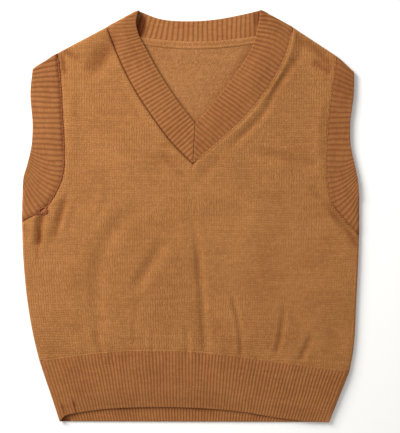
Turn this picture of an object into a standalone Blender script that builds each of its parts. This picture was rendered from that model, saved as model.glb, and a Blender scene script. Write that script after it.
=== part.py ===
"""A knitted V-neck sweater vest, laid flat on its back with its front side up.

The vest is a flattened tube: a front and a back panel that turn into each other along
the side and shoulder folds, with ribbed bands sewn on at the neck, armholes and hem.
The head end is at +Y, the hem at -Y, and the wearer's right is at -X. Tables and sizes
are in millimetres, measured from the middle of the chest; meshes are in metres.
"""

from collections import namedtuple

import bmesh
import bpy
import numpy as np

MM = 0.001

# Driving sizes, in millimetres.
WALL = 2.0  # thickness of the plain knit
RIB_HEIGHT = 0.9  # how far a rib stands above the groove beside it
GROOVE = 0.25  # how far a groove lies below the face of the plain knit
FOLD_RADIUS = 2.2  # of the cloth's middle, where the front turns into the back
SEAM_GAP = 0.35  # between a panel and the band sewn to it
SPLIT = 0.3  # between front and back along the side and shoulder folds
PUFF = 0.5  # how far the middle of the front stands above its folded sides
PUFF_REACH = 45.0  # how far from a fold the front takes to rise that much

# Ribs on each stretch of band.
NECK_RIBS_LEFT = 31
NECK_RIBS_RIGHT = 32
MITRE_RIBS = 7  # the short ribs that end on the seam at the point of the V
NECK_RIBS_BACK = 31
ARMHOLE_RIBS = 34
HEM_RIBS = 91

FOLD_REACH = FOLD_RADIUS + WALL / 2  # how far in from the outline the cloth still bends
FOLD_STEPS = (0.0, 0.134, 0.5, 1.0)  # places round a quarter fold, as shares of its reach

Place = namedtuple("Place", "x y")
Fold = namedtuple("Fold", "name x0 y0 x1 y1 bow width ridge trough")
Loft = namedtuple("Loft", "name x y reach height")

# The outline. Front and back turn into each other along the shoulders and the sides, and
# those folds are straight across each band.
NECK_POINT_LEFT, NECK_POINT_RIGHT = Place(-70.5, 280), Place(95.5, 281)
NECK_CORNER_LEFT, NECK_CORNER_RIGHT = Place(-114, 258), Place(140, 257)
SHOULDER_SEAM_LEFT, SHOULDER_SEAM_RIGHT = Place(-182, 222), Place(200, 217.5)
SHOULDER_TIP_LEFT, SHOULDER_TIP_RIGHT = Place(-215, 201), Place(223, 196.5)
UNDERARM_TIP_LEFT, UNDERARM_TIP_RIGHT = Place(-228.6, 36), Place(230, 22)
UNDERARM_LEFT, UNDERARM_RIGHT = Place(-230, -8), Place(230, -26)
WAIST_LEFT, WAIST_RIGHT = Place(-206, -198), Place(217, -212)
HEM_TIP_LEFT, HEM_TIP_RIGHT = Place(-178, -280.5), Place(189, -281.5)
SIDE_LEFT = [UNDERARM_LEFT, Place(-228, -60), Place(-222, -120), Place(-213, -170), WAIST_LEFT]
SIDE_RIGHT = [WAIST_RIGHT, Place(222, -184), Place(226, -120), Place(229, -60), UNDERARM_RIGHT]

# Where the bands are sewn on, and the bands' free edges.
ARMHOLE_SEAM_LEFT = [
    SHOULDER_SEAM_LEFT, Place(-178, 190), Place(-175, 139), Place(-172.5, 90),
    Place(-174, 58), Place(-183, 33), Place(-204, 7), UNDERARM_LEFT,
]
ARMHOLE_EDGE_LEFT = [
    SHOULDER_TIP_LEFT, Place(-218, 170), Place(-215, 120), Place(-216.5, 96),
    Place(-222, 71), Place(-227.5, 52), UNDERARM_TIP_LEFT,
]
ARMHOLE_SEAM_RIGHT = [
    SHOULDER_SEAM_RIGHT, Place(195, 186), Place(188, 128), Place(185, 80),
    Place(187, 42), Place(193.5, 15), Place(208, -3.5), UNDERARM_RIGHT,
]
ARMHOLE_EDGE_RIGHT = [
    SHOULDER_TIP_RIGHT, Place(222.5, 168), Place(217.5, 124), Place(218, 98),
    Place(223.5, 71), Place(228.5, 46), UNDERARM_TIP_RIGHT,
]
V_SEAM = Place(3.4, 71)  # the point of the V, on the seam
V_EDGE = Place(6.4, 126.4)  # and on the free edge
NECK_SEAM_LEFT = [
    NECK_CORNER_LEFT, Place(-99, 219), Place(-79, 178), Place(-51, 134), Place(-21, 95), V_SEAM,
]
NECK_EDGE_LEFT = [
    NECK_POINT_LEFT, Place(-74, 262), Place(-71, 249), Place(-60, 227), Place(-44, 198),
    Place(-17, 156.5), V_EDGE,
]
NECK_SEAM_RIGHT = [
    NECK_CORNER_RIGHT, Place(133, 226), Place(115, 188.5), Place(81, 141.5), Place(41.5, 103.5), V_SEAM,
]
NECK_EDGE_RIGHT = [
    NECK_POINT_RIGHT, Place(92, 259), Place(84, 231), Place(57.5, 188.5), Place(31, 154), V_EDGE,
]
NECK_SEAM_BACK = [
    NECK_CORNER_LEFT, Place(-96, 247.5), Place(-65, 242), Place(-2, 236.4),
    Place(67.5, 240.5), Place(89.5, 244), Place(121, 250), NECK_CORNER_RIGHT,
]
NECK_EDGE_BACK = [
    NECK_POINT_LEFT, Place(-43, 269.7), Place(-2, 266.2), Place(30, 268), Place(67.5, 274.5),
    NECK_POINT_RIGHT,
]
MITRE_SHARE = 0.82  # share of a front neck seam that lies above the ribs that the mitre cuts
HEM_SEAM_FRONT = [
    WAIST_LEFT, Place(-190, -195.5), Place(-128, -187), Place(-55, -183),
    Place(6, -185), Place(88, -194.5), Place(164, -205), WAIST_RIGHT,
]
HEM_EDGE_FRONT = [
    HEM_TIP_LEFT, Place(-171, -272.5), Place(-158, -269.5), Place(-120, -264), Place(-55, -261),
    Place(6, -262), Place(70, -267.5), Place(126, -276.5), Place(160, -280.5), HEM_TIP_RIGHT,
]
HEM_SEAM_BACK = [WAIST_LEFT, Place(-70, -201), Place(70, -202), WAIST_RIGHT]
HEM_EDGE_BACK = [HEM_TIP_LEFT, HEM_TIP_RIGHT]
CENTRE_X = 6.0  # where the panels' middle columns meet the hem and the back neck


# Folds in the front layer: a ridge on one side of the line, a trough on the other, which
# is its left when looking from the second end to the first. bow bends the line sideways.
FRONT_FOLDS = [
    Fold("centre pleat", 2, -12, 17, -192, 0, 6.0, 1.2, 2.6),
    Fold("right pleat", 56, -85, 69, -196, 2, 5.0, 0.9, 1.8),
    Fold("outer right pleat", 124, -108, 114, -202, 3, 5.0, 0.8, 1.6),
    Fold("left drape", -42, 24, -146, -165, -42, 13.0, 1.4, 1.6),
    Fold("left diagonal", -28, -14, -86, -98, 0, 9.0, 0.8, 1.5),
    Fold("right chest drag", 172, 70, 86, 96, -4, 9.0, 0.7, 1.3),
    Fold("left shoulder drag", -104, 246, -146, 178, 0, 8.0, 0.8, 1.4),
    Fold("right shoulder drag", 186, 206, 150, 228, 0, 7.0, 0.5, 1.0),
    Fold("left underarm pucker", -200, 14, -211, -38, 0, 4.5, 1.0, 2.0),
    Fold("left underarm drag", -172, 34, -187, -28, 0, 6.0, 0.6, 1.2),
    Fold("left hem gather", -129, -158, -120, -196, 0, 5.0, 0.5, 1.0),
    Fold("inner hem gather", -71, -118, -74, -194, 0, 5.0, 0.6, 1.0),
    Fold("right hem gather", 150, -158, 142, -206, 0, 5.0, 0.5, 0.9),
]
SIDE_RIDGE = Fold("left side ridge", -168, -30, -164, -180, 0, 11.0, 1.2, 0.0)

# Where the fold between the layers is fuller, so that the front stands higher.
LOFTS = [
    Loft("left neck fold", -74, 274, 26, 2.4),
    Loft("right neck fold", 98, 275, 24, 1.2),
    Loft("left hem corner", -173, -276, 17, 1.7),
]
WELT_LEFT, WELT_RIGHT = 0.5, 1.0  # height of the roll in the panel beside the neck seam
WELT_AT, WELT_WIDTH = 6.0, 4.5  # its distance from the seam, and its width
WELT_TROUGH, WELT_TROUGH_AT = 0.9, 17.0  # the hollow beside the right roll
EDGE_SINK, EDGE_REACH = 1.3, 22.0  # how the front sinks towards its free edges


def smooth(places, step=1.0):
    """A polyline, about step apart, along a smooth curve through the places (chord-length Catmull-Rom)."""
    p = np.array(places, float)
    if len(p) == 2:
        return p[0] + np.linspace(0, 1, 60)[:, None] * (p[1] - p[0])
    knots = np.concatenate([[0], np.cumsum(np.linalg.norm(np.diff(p, axis=0), axis=1))])
    slope = np.gradient(p, knots, axis=0)
    line = []
    for i in range(len(p) - 1):
        span = knots[i + 1] - knots[i]
        t = np.linspace(0, 1, max(3, int(span / step)), endpoint=False)[:, None]
        line.append(
            (1 + 2 * t) * (1 - t) ** 2 * p[i] + t * (1 - t) ** 2 * span * slope[i]
            + t**2 * (3 - 2 * t) * p[i + 1] - t**2 * (1 - t) * span * slope[i + 1]
        )
    return np.concatenate(line + [p[-1:]])


def length_of(line):
    return np.linalg.norm(np.diff(line, axis=0), axis=1).sum()


def along(line, shares):
    """Points at the given shares of a polyline's length."""
    walked = np.concatenate([[0], np.cumsum(np.linalg.norm(np.diff(line, axis=0), axis=1))])
    at = np.asarray(shares) * walked[-1]
    return np.stack([np.interp(at, walked, line[:, k]) for k in range(2)], axis=-1)


def beside(line, at, right):
    """Points beside a seam, at shares of its length, on its right (1) or left (-1).

    They stand off far enough for the chords between them to pass SEAM_GAP clear of it.
    """
    points = along(line, at)
    chord = np.diff(points, axis=0)
    normal = right * np.stack([chord[:, 1], -chord[:, 0]], axis=1) / np.linalg.norm(chord, axis=1)[:, None]
    bulge = [
        ((along(line, np.linspace(start, end, 9)) - point) @ out).max()
        for start, end, point, out in zip(at[:-1], at[1:], points, normal)
    ]
    out = np.concatenate([normal[:1], normal[1:] + normal[:-1], normal[-1:]])
    return points + out / np.linalg.norm(out, axis=1)[:, None] * (SEAM_GAP + max(bulge))


def shares(line, count, start=0.0, end=0.0, crowding=1.0):
    """Shares of the length: close together over the fold's reach at either end, and count steps between.

    Those steps are even, or with more crowding they are shorter near the line's start.
    """
    steps = np.array(FOLD_STEPS[:-1])
    long = length_of(line)
    before = steps * start if start else np.zeros(0)
    after = long - steps[::-1] * end if end else np.zeros(0)
    between = start + (long - end - start) * np.linspace(0, 1, count + 1) ** crowding
    return np.concatenate([before, between, after]) / long


FOLD_BLEND = 7.0  # the stretch of a fold line over which its direction is averaged
FOLD_LINES = [
    along(line, np.linspace(0, 1, int(length_of(line) / 3.0)))
    for line in (
        np.array([NECK_POINT_LEFT, NECK_CORNER_LEFT, SHOULDER_SEAM_LEFT, SHOULDER_TIP_LEFT], float),
        np.concatenate([[UNDERARM_TIP_LEFT], smooth(SIDE_LEFT), [HEM_TIP_LEFT]]),
        np.concatenate([[HEM_TIP_RIGHT], smooth(SIDE_RIGHT), [UNDERARM_TIP_RIGHT]]),
        np.array([SHOULDER_TIP_RIGHT, SHOULDER_SEAM_RIGHT, NECK_CORNER_RIGHT, NECK_POINT_RIGHT], float),
    )
]
FREE_EDGES = [smooth(p, 4.0) for p in (NECK_EDGE_LEFT, NECK_EDGE_RIGHT, HEM_EDGE_FRONT)]


def nearest(plan, line):
    """Distance from each plan point to a polyline, and the way there."""
    a, way = line[:-1], np.diff(line, axis=0)
    t = np.clip(((plan[:, None] - a) * way).sum(2) / (way**2).sum(1), 0, 1)
    to = a + t[..., None] * way - plan[:, None]
    gap = np.linalg.norm(to, axis=2)
    best = gap.argmin(1)
    rows = np.arange(len(plan))
    return gap[rows, best], to[rows, best]


def fold_at(plan):
    """Distance from each plan point in to the nearest fold, and the direction outwards to it.

    The direction is the fold line's own right-hand side, averaged over the stretch nearby,
    or past the line's ends the straight way to them.
    """
    best, out = np.full(len(plan), np.inf), np.zeros_like(plan)
    for line in FOLD_LINES:
        gap, to = nearest(plan, line)
        middle, way = (line[1:] + line[:-1]) / 2, np.diff(line, axis=0)
        weight = np.exp(-(((plan[:, None] - middle) ** 2).sum(2) - gap[:, None] ** 2) / FOLD_BLEND**2)
        normal = weight @ np.stack([way[:, 1], -way[:, 0]], axis=1)
        normal /= np.linalg.norm(normal, axis=1)[:, None]
        gap = np.where(((to * normal).sum(1) < 0) & (gap < FOLD_RADIUS), 0.0, gap)
        to_ends = (np.linalg.norm(plan + to - end, axis=1) for end in (line[0], line[-1]))
        past_end = np.minimum(*to_ends) < 1e-6
        straight = past_end & (gap > 0.02)
        normal[straight] = to[straight] / gap[straight, None]
        closer = gap < best
        best, out = np.where(closer, gap, best), np.where(closer[:, None], normal, out)
    return best, out


def smoothstep(x):
    x = np.clip(x, 0, 1)
    return x * x * (3 - 2 * x)


def fold_height(plan, fold):
    """A ridge and a trough side by side along the fold's line, fading to nothing at its ends."""
    start, end = np.array([fold.x0, fold.y0]), np.array([fold.x1, fold.y1])
    long = np.linalg.norm(end - start)
    way = (end - start) / long
    side = np.array([-way[1], way[0]])
    t = (plan - start) @ way / long
    across = (plan - start) @ side - 4 * fold.bow * t * (1 - t)
    fade = smoothstep(t / 0.35) * smoothstep((1.08 - t) / 0.3)
    ridge = np.exp(-(((across + 0.8 * fold.width) / fold.width) ** 2))
    trough = np.exp(-(((across - 0.8 * fold.width) / fold.width) ** 2))
    return fade * (fold.ridge * ridge - fold.trough * trough)


def front_height(plan, gap):
    """How far the front layer stands above the plane that its folded sides give it."""
    height = PUFF * (1 - np.exp(-gap / PUFF_REACH))
    for edge in FREE_EDGES:
        height -= EDGE_SINK * np.exp(-((nearest(plan, edge)[0] / EDGE_REACH) ** 2))
    for fold in FRONT_FOLDS + [SIDE_RIDGE]:
        height += fold_height(plan, fold)
    welts = (NECK_SEAM_LEFT, WELT_LEFT, 0.0), (NECK_SEAM_RIGHT, WELT_RIGHT, WELT_TROUGH)
    for seam, welt, trough in welts:
        from_seam, to = nearest(plan, smooth(seam, 4.0))
        below = smoothstep(-(to[:, 0] * np.sign(seam[0].x)) / 2.0)
        height += below * welt * np.exp(-(((from_seam - WELT_AT) / WELT_WIDTH) ** 2))
        height -= below * trough * np.exp(-(((from_seam - WELT_TROUGH_AT) / WELT_WIDTH) ** 2))
    return height * smoothstep(gap / (3 * FOLD_RADIUS))


def loft_at(plan):
    """How much higher than usual the front stands near each plan point."""
    height = np.zeros(len(plan))
    for loft in LOFTS:
        away = np.linalg.norm(plan - np.array([loft.x, loft.y]), axis=1)
        height += loft.height * np.exp(-((away / loft.reach) ** 2))
    return height


def lift(plan, front, offset):
    """Plan points to space, on a layer's face at that offset outwards from the cloth's middle.

    The outer face meets the outline, and within the fold's reach of it the layer follows a
    quarter circle; farther in the back lies flat, and the front has its own height.
    """
    shape = plan.shape[:-1]
    plan, offset = plan.reshape(-1, 2), np.broadcast_to(offset, shape).reshape(-1)
    front = np.broadcast_to(front, shape).reshape(-1)
    gap, out = fold_at(plan)
    lean = np.clip(1 - gap / FOLD_REACH, 0, 1)
    rise = np.sqrt(1 - lean**2)
    xy = plan + out * (lean * (offset - WALL / 2))[:, None]
    middle = WALL / 2 + FOLD_RADIUS
    above = middle + SPLIT + (FOLD_RADIUS + offset) * rise + front_height(plan, gap) + loft_at(plan)
    below = middle - (FOLD_RADIUS + offset) * rise
    z = np.where(front, above, below)
    return np.column_stack([xy, z]).reshape(*shape, 3)


def grid_faces(rows, columns, closed=False):
    """The quads of a grid of points, anticlockwise from above; closed joins its last row to the first."""
    index = np.arange(rows * columns).reshape(rows, columns)
    if closed:
        index = np.vstack([index, index[:1]])
    corners = [index[:-1, :-1], index[:-1, 1:], index[1:, 1:], index[1:, :-1]]
    return np.stack(corners, axis=-1).reshape(-1, 4)


def wall(name, outer, inner, faces, colour):
    """One closed solid between an outer and an inner face, with a rim round every free edge."""
    count = len(outer)
    ends = np.concatenate([faces[:, [k, (k + 1) % 4]] for k in range(4)])
    _, first, uses = np.unique(np.sort(ends, axis=1), axis=0, return_index=True, return_counts=True)
    free = ends[first[uses == 1]]
    rim = np.column_stack([free[:, 1], free[:, 0], free[:, 0] + count, free[:, 1] + count])
    quads = np.concatenate([faces, faces[:, ::-1] + count, rim])
    mesh = bpy.data.meshes.new(name)
    mesh.from_pydata((np.concatenate([outer, inner]) * MM).tolist(), [], quads.tolist())
    body = bmesh.new()
    body.from_mesh(mesh)
    if body.calc_volume(signed=True) < 0:
        bmesh.ops.reverse_faces(body, faces=body.faces)
    body.to_mesh(mesh)
    body.free()
    mesh.materials.append(knit_material(name, colour))
    piece = bpy.data.objects.new(name, mesh)
    bpy.context.scene.collection.objects.link(piece)
    return piece


def knit_material(name, colour):
    """Wool-blend yarn: matt, with no metal in it."""
    material = bpy.data.materials.new(name)
    material.use_nodes = True
    shader = material.node_tree.nodes["Principled BSDF"]
    shader.inputs["Base Color"].default_value = (*colour, 1.0)
    shader.inputs["Roughness"].default_value = 0.9
    shader.inputs["Metallic"].default_value = 0.0
    return material


PLAIN_KNIT = (0.43, 0.19, 0.06)
RIB_KNIT = (0.36, 0.15, 0.05)


def coons(left, right, bottom, top, across, up):
    """Points of a four-sided patch: across and up are shares, and the four sides are given at them."""
    u, v = across[..., None], up[:, None, None]
    sides = (1 - u) * left[:, None] + u * right[:, None]
    ends = (1 - v) * bottom + v * top
    corners = (1 - v) * ((1 - u) * left[0] + u * right[0]) + v * ((1 - u) * left[-1] + u * right[-1])
    return sides + ends - corners


def half_panel(outer_side, inner_side, bottom, top, column_shares):
    """Plan points of half a panel, from the side to the middle, hem to shoulder."""
    widths = np.linalg.norm(inner_side - outer_side, axis=1)
    close = np.array(FOLD_STEPS[:-1]) * FOLD_REACH
    far = FOLD_REACH + np.array(column_shares) * (widths[:, None] - FOLD_REACH)
    close = np.broadcast_to(close, (len(widths), len(close)))
    across = np.concatenate([close, far], axis=1) / widths[:, None]
    walked = np.concatenate([[0], np.cumsum(np.linalg.norm(np.diff(outer_side, axis=0), axis=1))])
    foot, head = along(bottom, across[0]), along(top, across[-1])
    return coons(outer_side, inner_side, foot, head, across, walked / walked[-1])


def to_middle(line):
    """The part of a line from its start to the panel's middle."""
    half = line[: np.abs(line[:, 0] - CENTRE_X).argmin() + 1].copy()
    half[-1, 0] = CENTRE_X
    return half


def middle_point(line, off):
    """The point of a line, which runs left to right, at the panel's middle, moved up by off."""
    return CENTRE_X, np.interp(CENTRE_X, line[:, 0], line[:, 1]) + off


def half_lines(side, armhole, hem, rows, right_hand):
    """A half panel's outer side, hem to shoulder, and its foot, side to middle.

    right_hand is 1 on the left half and -1 on the right.
    rows gives the steps up the side fold and up the armhole.
    """
    foot = beside(to_middle(smooth(hem)[::right_hand]), np.linspace(0, 1, 40), -right_hand)
    foot[-1] = middle_point(smooth(hem), SEAM_GAP)
    seam = smooth(armhole)[::-1]
    at = shares(seam, rows.armhole, FOLD_REACH, FOLD_REACH, UNDERARM_CROWDING)
    up_armhole = beside(seam, at, right_hand)
    fold = smooth(side)
    fold = fold if fold[0, 1] < fold[-1, 1] else fold[::-1]
    fold = fold[(fold[:, 1] > foot[0, 1] + 1) & (fold[:, 1] < up_armhole[0, 1] - 1)]
    fold = np.concatenate([foot[:1], fold, up_armhole[:1]])
    up_side = along(fold, np.linspace(0, 1, rows.side + 1)[:-1])
    return np.concatenate([up_side, up_armhole]), foot


def weld(halves):
    """Joins grids of plan points into one sheet: points in the same place become one."""
    points, faces, start = [], [], 0
    for grid, flip in halves:
        quads = grid_faces(*grid.shape[:2])
        faces.append((quads[:, ::-1] if flip else quads) + start)
        points.append(grid.reshape(-1, 2))
        start += grid.shape[0] * grid.shape[1]
    points = np.concatenate(points)
    _, first, index = np.unique(np.round(points, 2), axis=0, return_index=True, return_inverse=True)
    return points[first], index.reshape(-1)[np.concatenate(faces)]


# Where the folds meet each half of the hem, as shares of the way from the side to the middle.
FOLDS_LEFT = (0.40, 0.62, 0.965)
FOLDS_RIGHT = (0.355, 0.488, 0.70, 0.948)
COLUMN_STEPS = 12  # even steps across a half, between the closer ones at the folds
FOLD_COLUMN = 0.025  # the step between the three columns at a fold
Rows = namedtuple("Rows", "side armhole")
FRONT_ROWS, BACK_ROWS = Rows(side=9, armhole=13), Rows(side=4, armhole=9)
BELOW_V = 6  # rows of the front's armhole stretch that lie below the point of the V
NECK_COLUMNS = 4  # columns of each half of the back along the neck
BOTH_SIDES = (SIDE_LEFT, ARMHOLE_SEAM_LEFT, 1), (SIDE_RIGHT, ARMHOLE_SEAM_RIGHT, -1)
UNDERARM_CROWDING = 1.25  # of a panel's rows towards the round of the underarm


def columns(folds):
    """The shares of the way across at which a half has its columns: even ones, and three at each fold."""
    close = np.array([fold + step * FOLD_COLUMN for fold in folds for step in (-1, 0, 1)])
    even = np.linspace(0, 1, COLUMN_STEPS + 1)
    even = [share for share in even if abs(close - share).min() > FOLD_COLUMN / 2]
    return np.unique(np.concatenate([even, close, [1.0]]))


def heights(lines):
    """How far up each row of a panel is, as a share, averaged over its two halves."""
    return np.mean([(line[:, 1] - line[0, 1]) / (line[-1, 1] - line[0, 1]) for line in lines], axis=0)


def front_panel():
    """The plain front, with its V and its armholes cut out."""
    left, right = (
        half_lines(side, armhole, HEM_SEAM_FRONT, FRONT_ROWS, right_hand)
        for side, armhole, right_hand in BOTH_SIDES
    )
    above_v = FRONT_ROWS.armhole - BELOW_V
    below = len(left[0]) - above_v - len(FOLD_STEPS)
    v_point = np.array([V_SEAM.x, V_SEAM.y - 2 * SEAM_GAP])
    up = heights([left[0][: below + 1], right[0][: below + 1]])
    middle = along(np.array([left[1][-1], v_point]), up[:-1])
    halves = []
    for (outer, foot), seam, right_hand, folds in (
        (left, NECK_SEAM_LEFT, 1, FOLDS_LEFT),
        (right, NECK_SEAM_RIGHT, -1, FOLDS_RIGHT),
    ):
        neck = smooth(seam)[::-1]
        up_neck = beside(neck, shares(neck, above_v, end=FOLD_REACH), -right_hand)
        inner = np.concatenate([middle, [v_point], up_neck[1:]])
        top = np.array([outer[-1], inner[-1]])
        halves.append((half_panel(outer, inner, foot, top, columns(folds)), right_hand < 0))
    plan, faces = weld(halves)
    return wall("front", lift(plan, True, WALL / 2), lift(plan, True, -WALL / 2), faces, PLAIN_KNIT)


def back_panel():
    """The plain back, which the vest lies on."""
    sides = [
        half_lines(side, armhole, HEM_SEAM_BACK, BACK_ROWS, right_hand)
        for side, armhole, right_hand in BOTH_SIDES
    ]
    up = heights([outer for outer, _ in sides])
    halves = []
    for (outer, foot), right_hand in zip(sides, (1, -1)):
        neck = to_middle(smooth(NECK_SEAM_BACK)[::right_hand])
        neck = beside(neck, shares(neck, NECK_COLUMNS, FOLD_REACH), right_hand)
        neck[-1] = middle_point(smooth(NECK_SEAM_BACK), -2 * SEAM_GAP)
        top = np.concatenate([outer[-1:], neck])
        corner = np.linalg.norm(neck[0] - outer[-1])
        at = np.concatenate([
            FOLD_REACH + (corner - FOLD_REACH) * np.linspace(0, 1, 4)[:-1],
            corner + (length_of(top) - corner) * shares(neck, NECK_COLUMNS, FOLD_REACH),
        ])
        across = (at - FOLD_REACH) / (length_of(top) - FOLD_REACH)
        inner = along(np.array([foot[-1], neck[-1]]), up)
        halves.append((half_panel(outer, inner, foot, top, across), right_hand < 0))
    plan, faces = weld(halves)
    return wall("back", lift(plan, False, WALL / 2), lift(plan, False, -WALL / 2), faces, PLAIN_KNIT)


def band(name, seam, edge, front, raised, cross, closed=False):
    """A ribbed band through stations. Each has a point on the seam and one on the free edge.

    front says which stations are on the front layer, and raised, for each station, how far
    the ribs stand out on the outer face (front) or on the upper, inner face (back).
    """
    t = np.linspace(0, 1, cross + 1)[None, :, None]
    plan = seam[:, None] * (1 - t) + edge[:, None] * t
    on_front = np.broadcast_to(front[:, None], plan.shape[:2])
    relief = np.broadcast_to(raised[:, None], plan.shape[:2])
    outer = lift(plan, on_front, WALL / 2 + np.where(on_front, relief, 0.0))
    inner = lift(plan, on_front, -WALL / 2 - np.where(on_front, 0.0, relief))
    faces = grid_faces(len(seam), cross + 1, closed)
    return wall(name, outer.reshape(-1, 3), inner.reshape(-1, 3), faces, RIB_KNIT)


def rib_relief(count, start_fold, end_fold):
    """Each station's height: groove, ridge, groove and so on, and level round a fold."""
    steps = len(FOLD_STEPS) - 1
    ribs = np.where(np.arange(2 * count + 1) % 2 == 0, -GROOVE, RIB_HEIGHT - GROOVE)
    level = np.full(steps, 0.0)
    return np.concatenate([level if start_fold else [], ribs, level if end_fold else []])


def neck_side(seam, edge, shift, ribs):
    """Stations of one front side of the neckband, from the shoulder fold to the point of the V."""
    seam_line = smooth(seam[:-1] + [Place(V_SEAM.x + shift, V_SEAM.y)])
    edge_line = smooth(edge[:-1] + [Place(V_EDGE.x + shift, V_EDGE.y)])
    mitre = np.array([[V_EDGE.x + shift, V_EDGE.y], [V_SEAM.x + shift, V_SEAM.y]])
    split = int(MITRE_SHARE * (len(seam_line) - 1))
    upper, lower = seam_line[: split + 1], seam_line[split:]
    free = shares(edge_line, 2 * ribs, FOLD_REACH)
    low = np.arange(1, 2 * MITRE_RIBS) / (2 * MITRE_RIBS)
    seam_points = np.concatenate([along(upper, shares(upper, 2 * ribs, FOLD_REACH)), along(lower, low)])
    edge_points = np.concatenate([along(edge_line, free), along(mitre, low)])
    return seam_points, edge_points, rib_relief(ribs + MITRE_RIBS, True, False)[: len(seam_points)]


def neckband():
    """One strip of rib: up the left of the V, round the back neck and down to the V again."""
    left = neck_side(NECK_SEAM_LEFT, NECK_EDGE_LEFT, -SPLIT / 2, NECK_RIBS_LEFT)
    right = neck_side(NECK_SEAM_RIGHT, NECK_EDGE_RIGHT, SPLIT / 2, NECK_RIBS_RIGHT)
    back = [
        along(line, shares(line, 2 * NECK_RIBS_BACK, FOLD_REACH, FOLD_REACH))[1:-1]
        for line in (smooth(NECK_SEAM_BACK), smooth(NECK_EDGE_BACK))
    ]
    back_relief = rib_relief(NECK_RIBS_BACK, True, True)[1:-1]
    seam = np.concatenate([left[0][::-1], back[0], right[0]])
    edge = np.concatenate([left[1][::-1], back[1], right[1]])
    raised = np.concatenate([left[2][::-1], back_relief, right[2]])
    front = np.repeat([True, False, True], [len(left[0]), len(back[0]), len(right[0])])
    return band("neckband", seam, edge, front, raised, cross=2)


def armhole_band(name, seam, edge):
    """A ring of rib round an armhole: down the front layer to the underarm fold, and up the back layer."""
    lines = smooth(seam), smooth(edge)
    down = [along(line, shares(line, 2 * ARMHOLE_RIBS, FOLD_REACH, FOLD_REACH)) for line in lines]
    plain = ARMHOLE_RIBS // 2 + 1
    up = [along(line, shares(line, plain, FOLD_REACH, FOLD_REACH))[::-1][1:-1] for line in lines]
    raised = np.concatenate([rib_relief(ARMHOLE_RIBS, True, True), np.zeros(len(up[0]))])
    front = np.repeat([True, False], [len(down[0]), len(up[0])])
    seam_points, edge_points = (np.concatenate([d, u]) for d, u in zip(down, up))
    return band(name, seam_points, edge_points, front, raised, cross=2, closed=True)


def hem_band(name, seam, edge, on_front, cross):
    """The ribbed hem of one layer, from one side fold to the other."""
    lines = smooth(seam), smooth(edge)
    stations = [along(line, shares(line, 2 * HEM_RIBS, FOLD_REACH, FOLD_REACH)) for line in lines]
    raised = rib_relief(HEM_RIBS, True, True)
    front = np.full(len(raised), on_front)
    return band(name, stations[0], stations[1], front, raised, cross)


def settle(pieces):
    """Moves the pieces so that the origin is under the middle of the vest, where it lies."""
    points = np.concatenate([[tuple(v.co) for v in piece.data.vertices] for piece in pieces])
    low, high = points.min(0), points.max(0)
    shift = -np.array([(low[0] + high[0]) / 2, (low[1] + high[1]) / 2, low[2]])
    for piece in pieces:
        corners = np.array([tuple(v.co) for v in piece.data.vertices]) + shift
        piece.data.vertices.foreach_set("co", corners.astype(np.float32).ravel())
        piece.data.update()


def main():
    for old in list(bpy.data.objects):
        bpy.data.objects.remove(old)
    pieces = [
        front_panel(),
        back_panel(),
        neckband(),
        armhole_band("armhole_band_left", ARMHOLE_SEAM_LEFT, ARMHOLE_EDGE_LEFT),
        armhole_band("armhole_band_right", ARMHOLE_SEAM_RIGHT, ARMHOLE_EDGE_RIGHT),
        hem_band("hem_rib_front", HEM_SEAM_FRONT, HEM_EDGE_FRONT, True, cross=2),
        hem_band("hem_rib_back", HEM_SEAM_BACK, HEM_EDGE_BACK, False, cross=1),
    ]
    settle(pieces)


main()
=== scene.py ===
"""A knitted V-neck sweater vest, laid flat with its front side up: the looks.

The head end is at +Y, the hem at -Y, and the wearer's right is at -X. Tables and the sizes
that shape functions work in are in millimetres, measured from the middle of the chest;
meshes, and the sizes that a user sets, are in metres.
"""

from collections import namedtuple

import bpy
import numpy as np
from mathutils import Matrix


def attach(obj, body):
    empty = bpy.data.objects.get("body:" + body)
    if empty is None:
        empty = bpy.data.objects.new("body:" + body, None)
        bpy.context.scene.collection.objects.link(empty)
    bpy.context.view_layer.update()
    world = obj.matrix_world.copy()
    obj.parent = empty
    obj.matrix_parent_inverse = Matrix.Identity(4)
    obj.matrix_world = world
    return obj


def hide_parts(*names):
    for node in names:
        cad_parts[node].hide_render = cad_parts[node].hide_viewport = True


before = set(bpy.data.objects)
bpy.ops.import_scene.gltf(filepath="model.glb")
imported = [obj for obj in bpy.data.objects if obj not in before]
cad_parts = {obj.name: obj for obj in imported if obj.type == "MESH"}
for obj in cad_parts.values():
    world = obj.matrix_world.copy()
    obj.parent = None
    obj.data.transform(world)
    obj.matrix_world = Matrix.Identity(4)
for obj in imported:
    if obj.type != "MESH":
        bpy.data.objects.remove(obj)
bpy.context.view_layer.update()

bl_info = {
    "name": "Knitted sweater vest",
    "version": (1, 0, 0),
    "blender": (4, 5, 0),
    "location": "View3D > Sidebar > Vest",
    "description": "Knitted panels, ribbed bands and linking stitches of a sweater vest laid flat",
    "category": "Add Mesh",
}

MM = 0.001

WALL = 2.0  # thickness of the plain knit
FOLD_RADIUS = 2.2  # of the cloth's middle, where the front turns into the back
SEAM_GAP = 0.35  # between a panel and the band sewn to it
SPLIT = 0.3  # between front and back along the side and shoulder folds
FOLD_REACH = FOLD_RADIUS + WALL / 2  # how far in from the outline the cloth still bends
FOLD_STEPS = (0.0, 0.03, 0.134, 0.29, 0.5, 0.74, 1.0)  # places round a quarter fold, of its reach
EDGE_STEPS = (0.0, 0.25, 0.8, 1.8)  # how far from a cut edge its rounded rows lie

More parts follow.
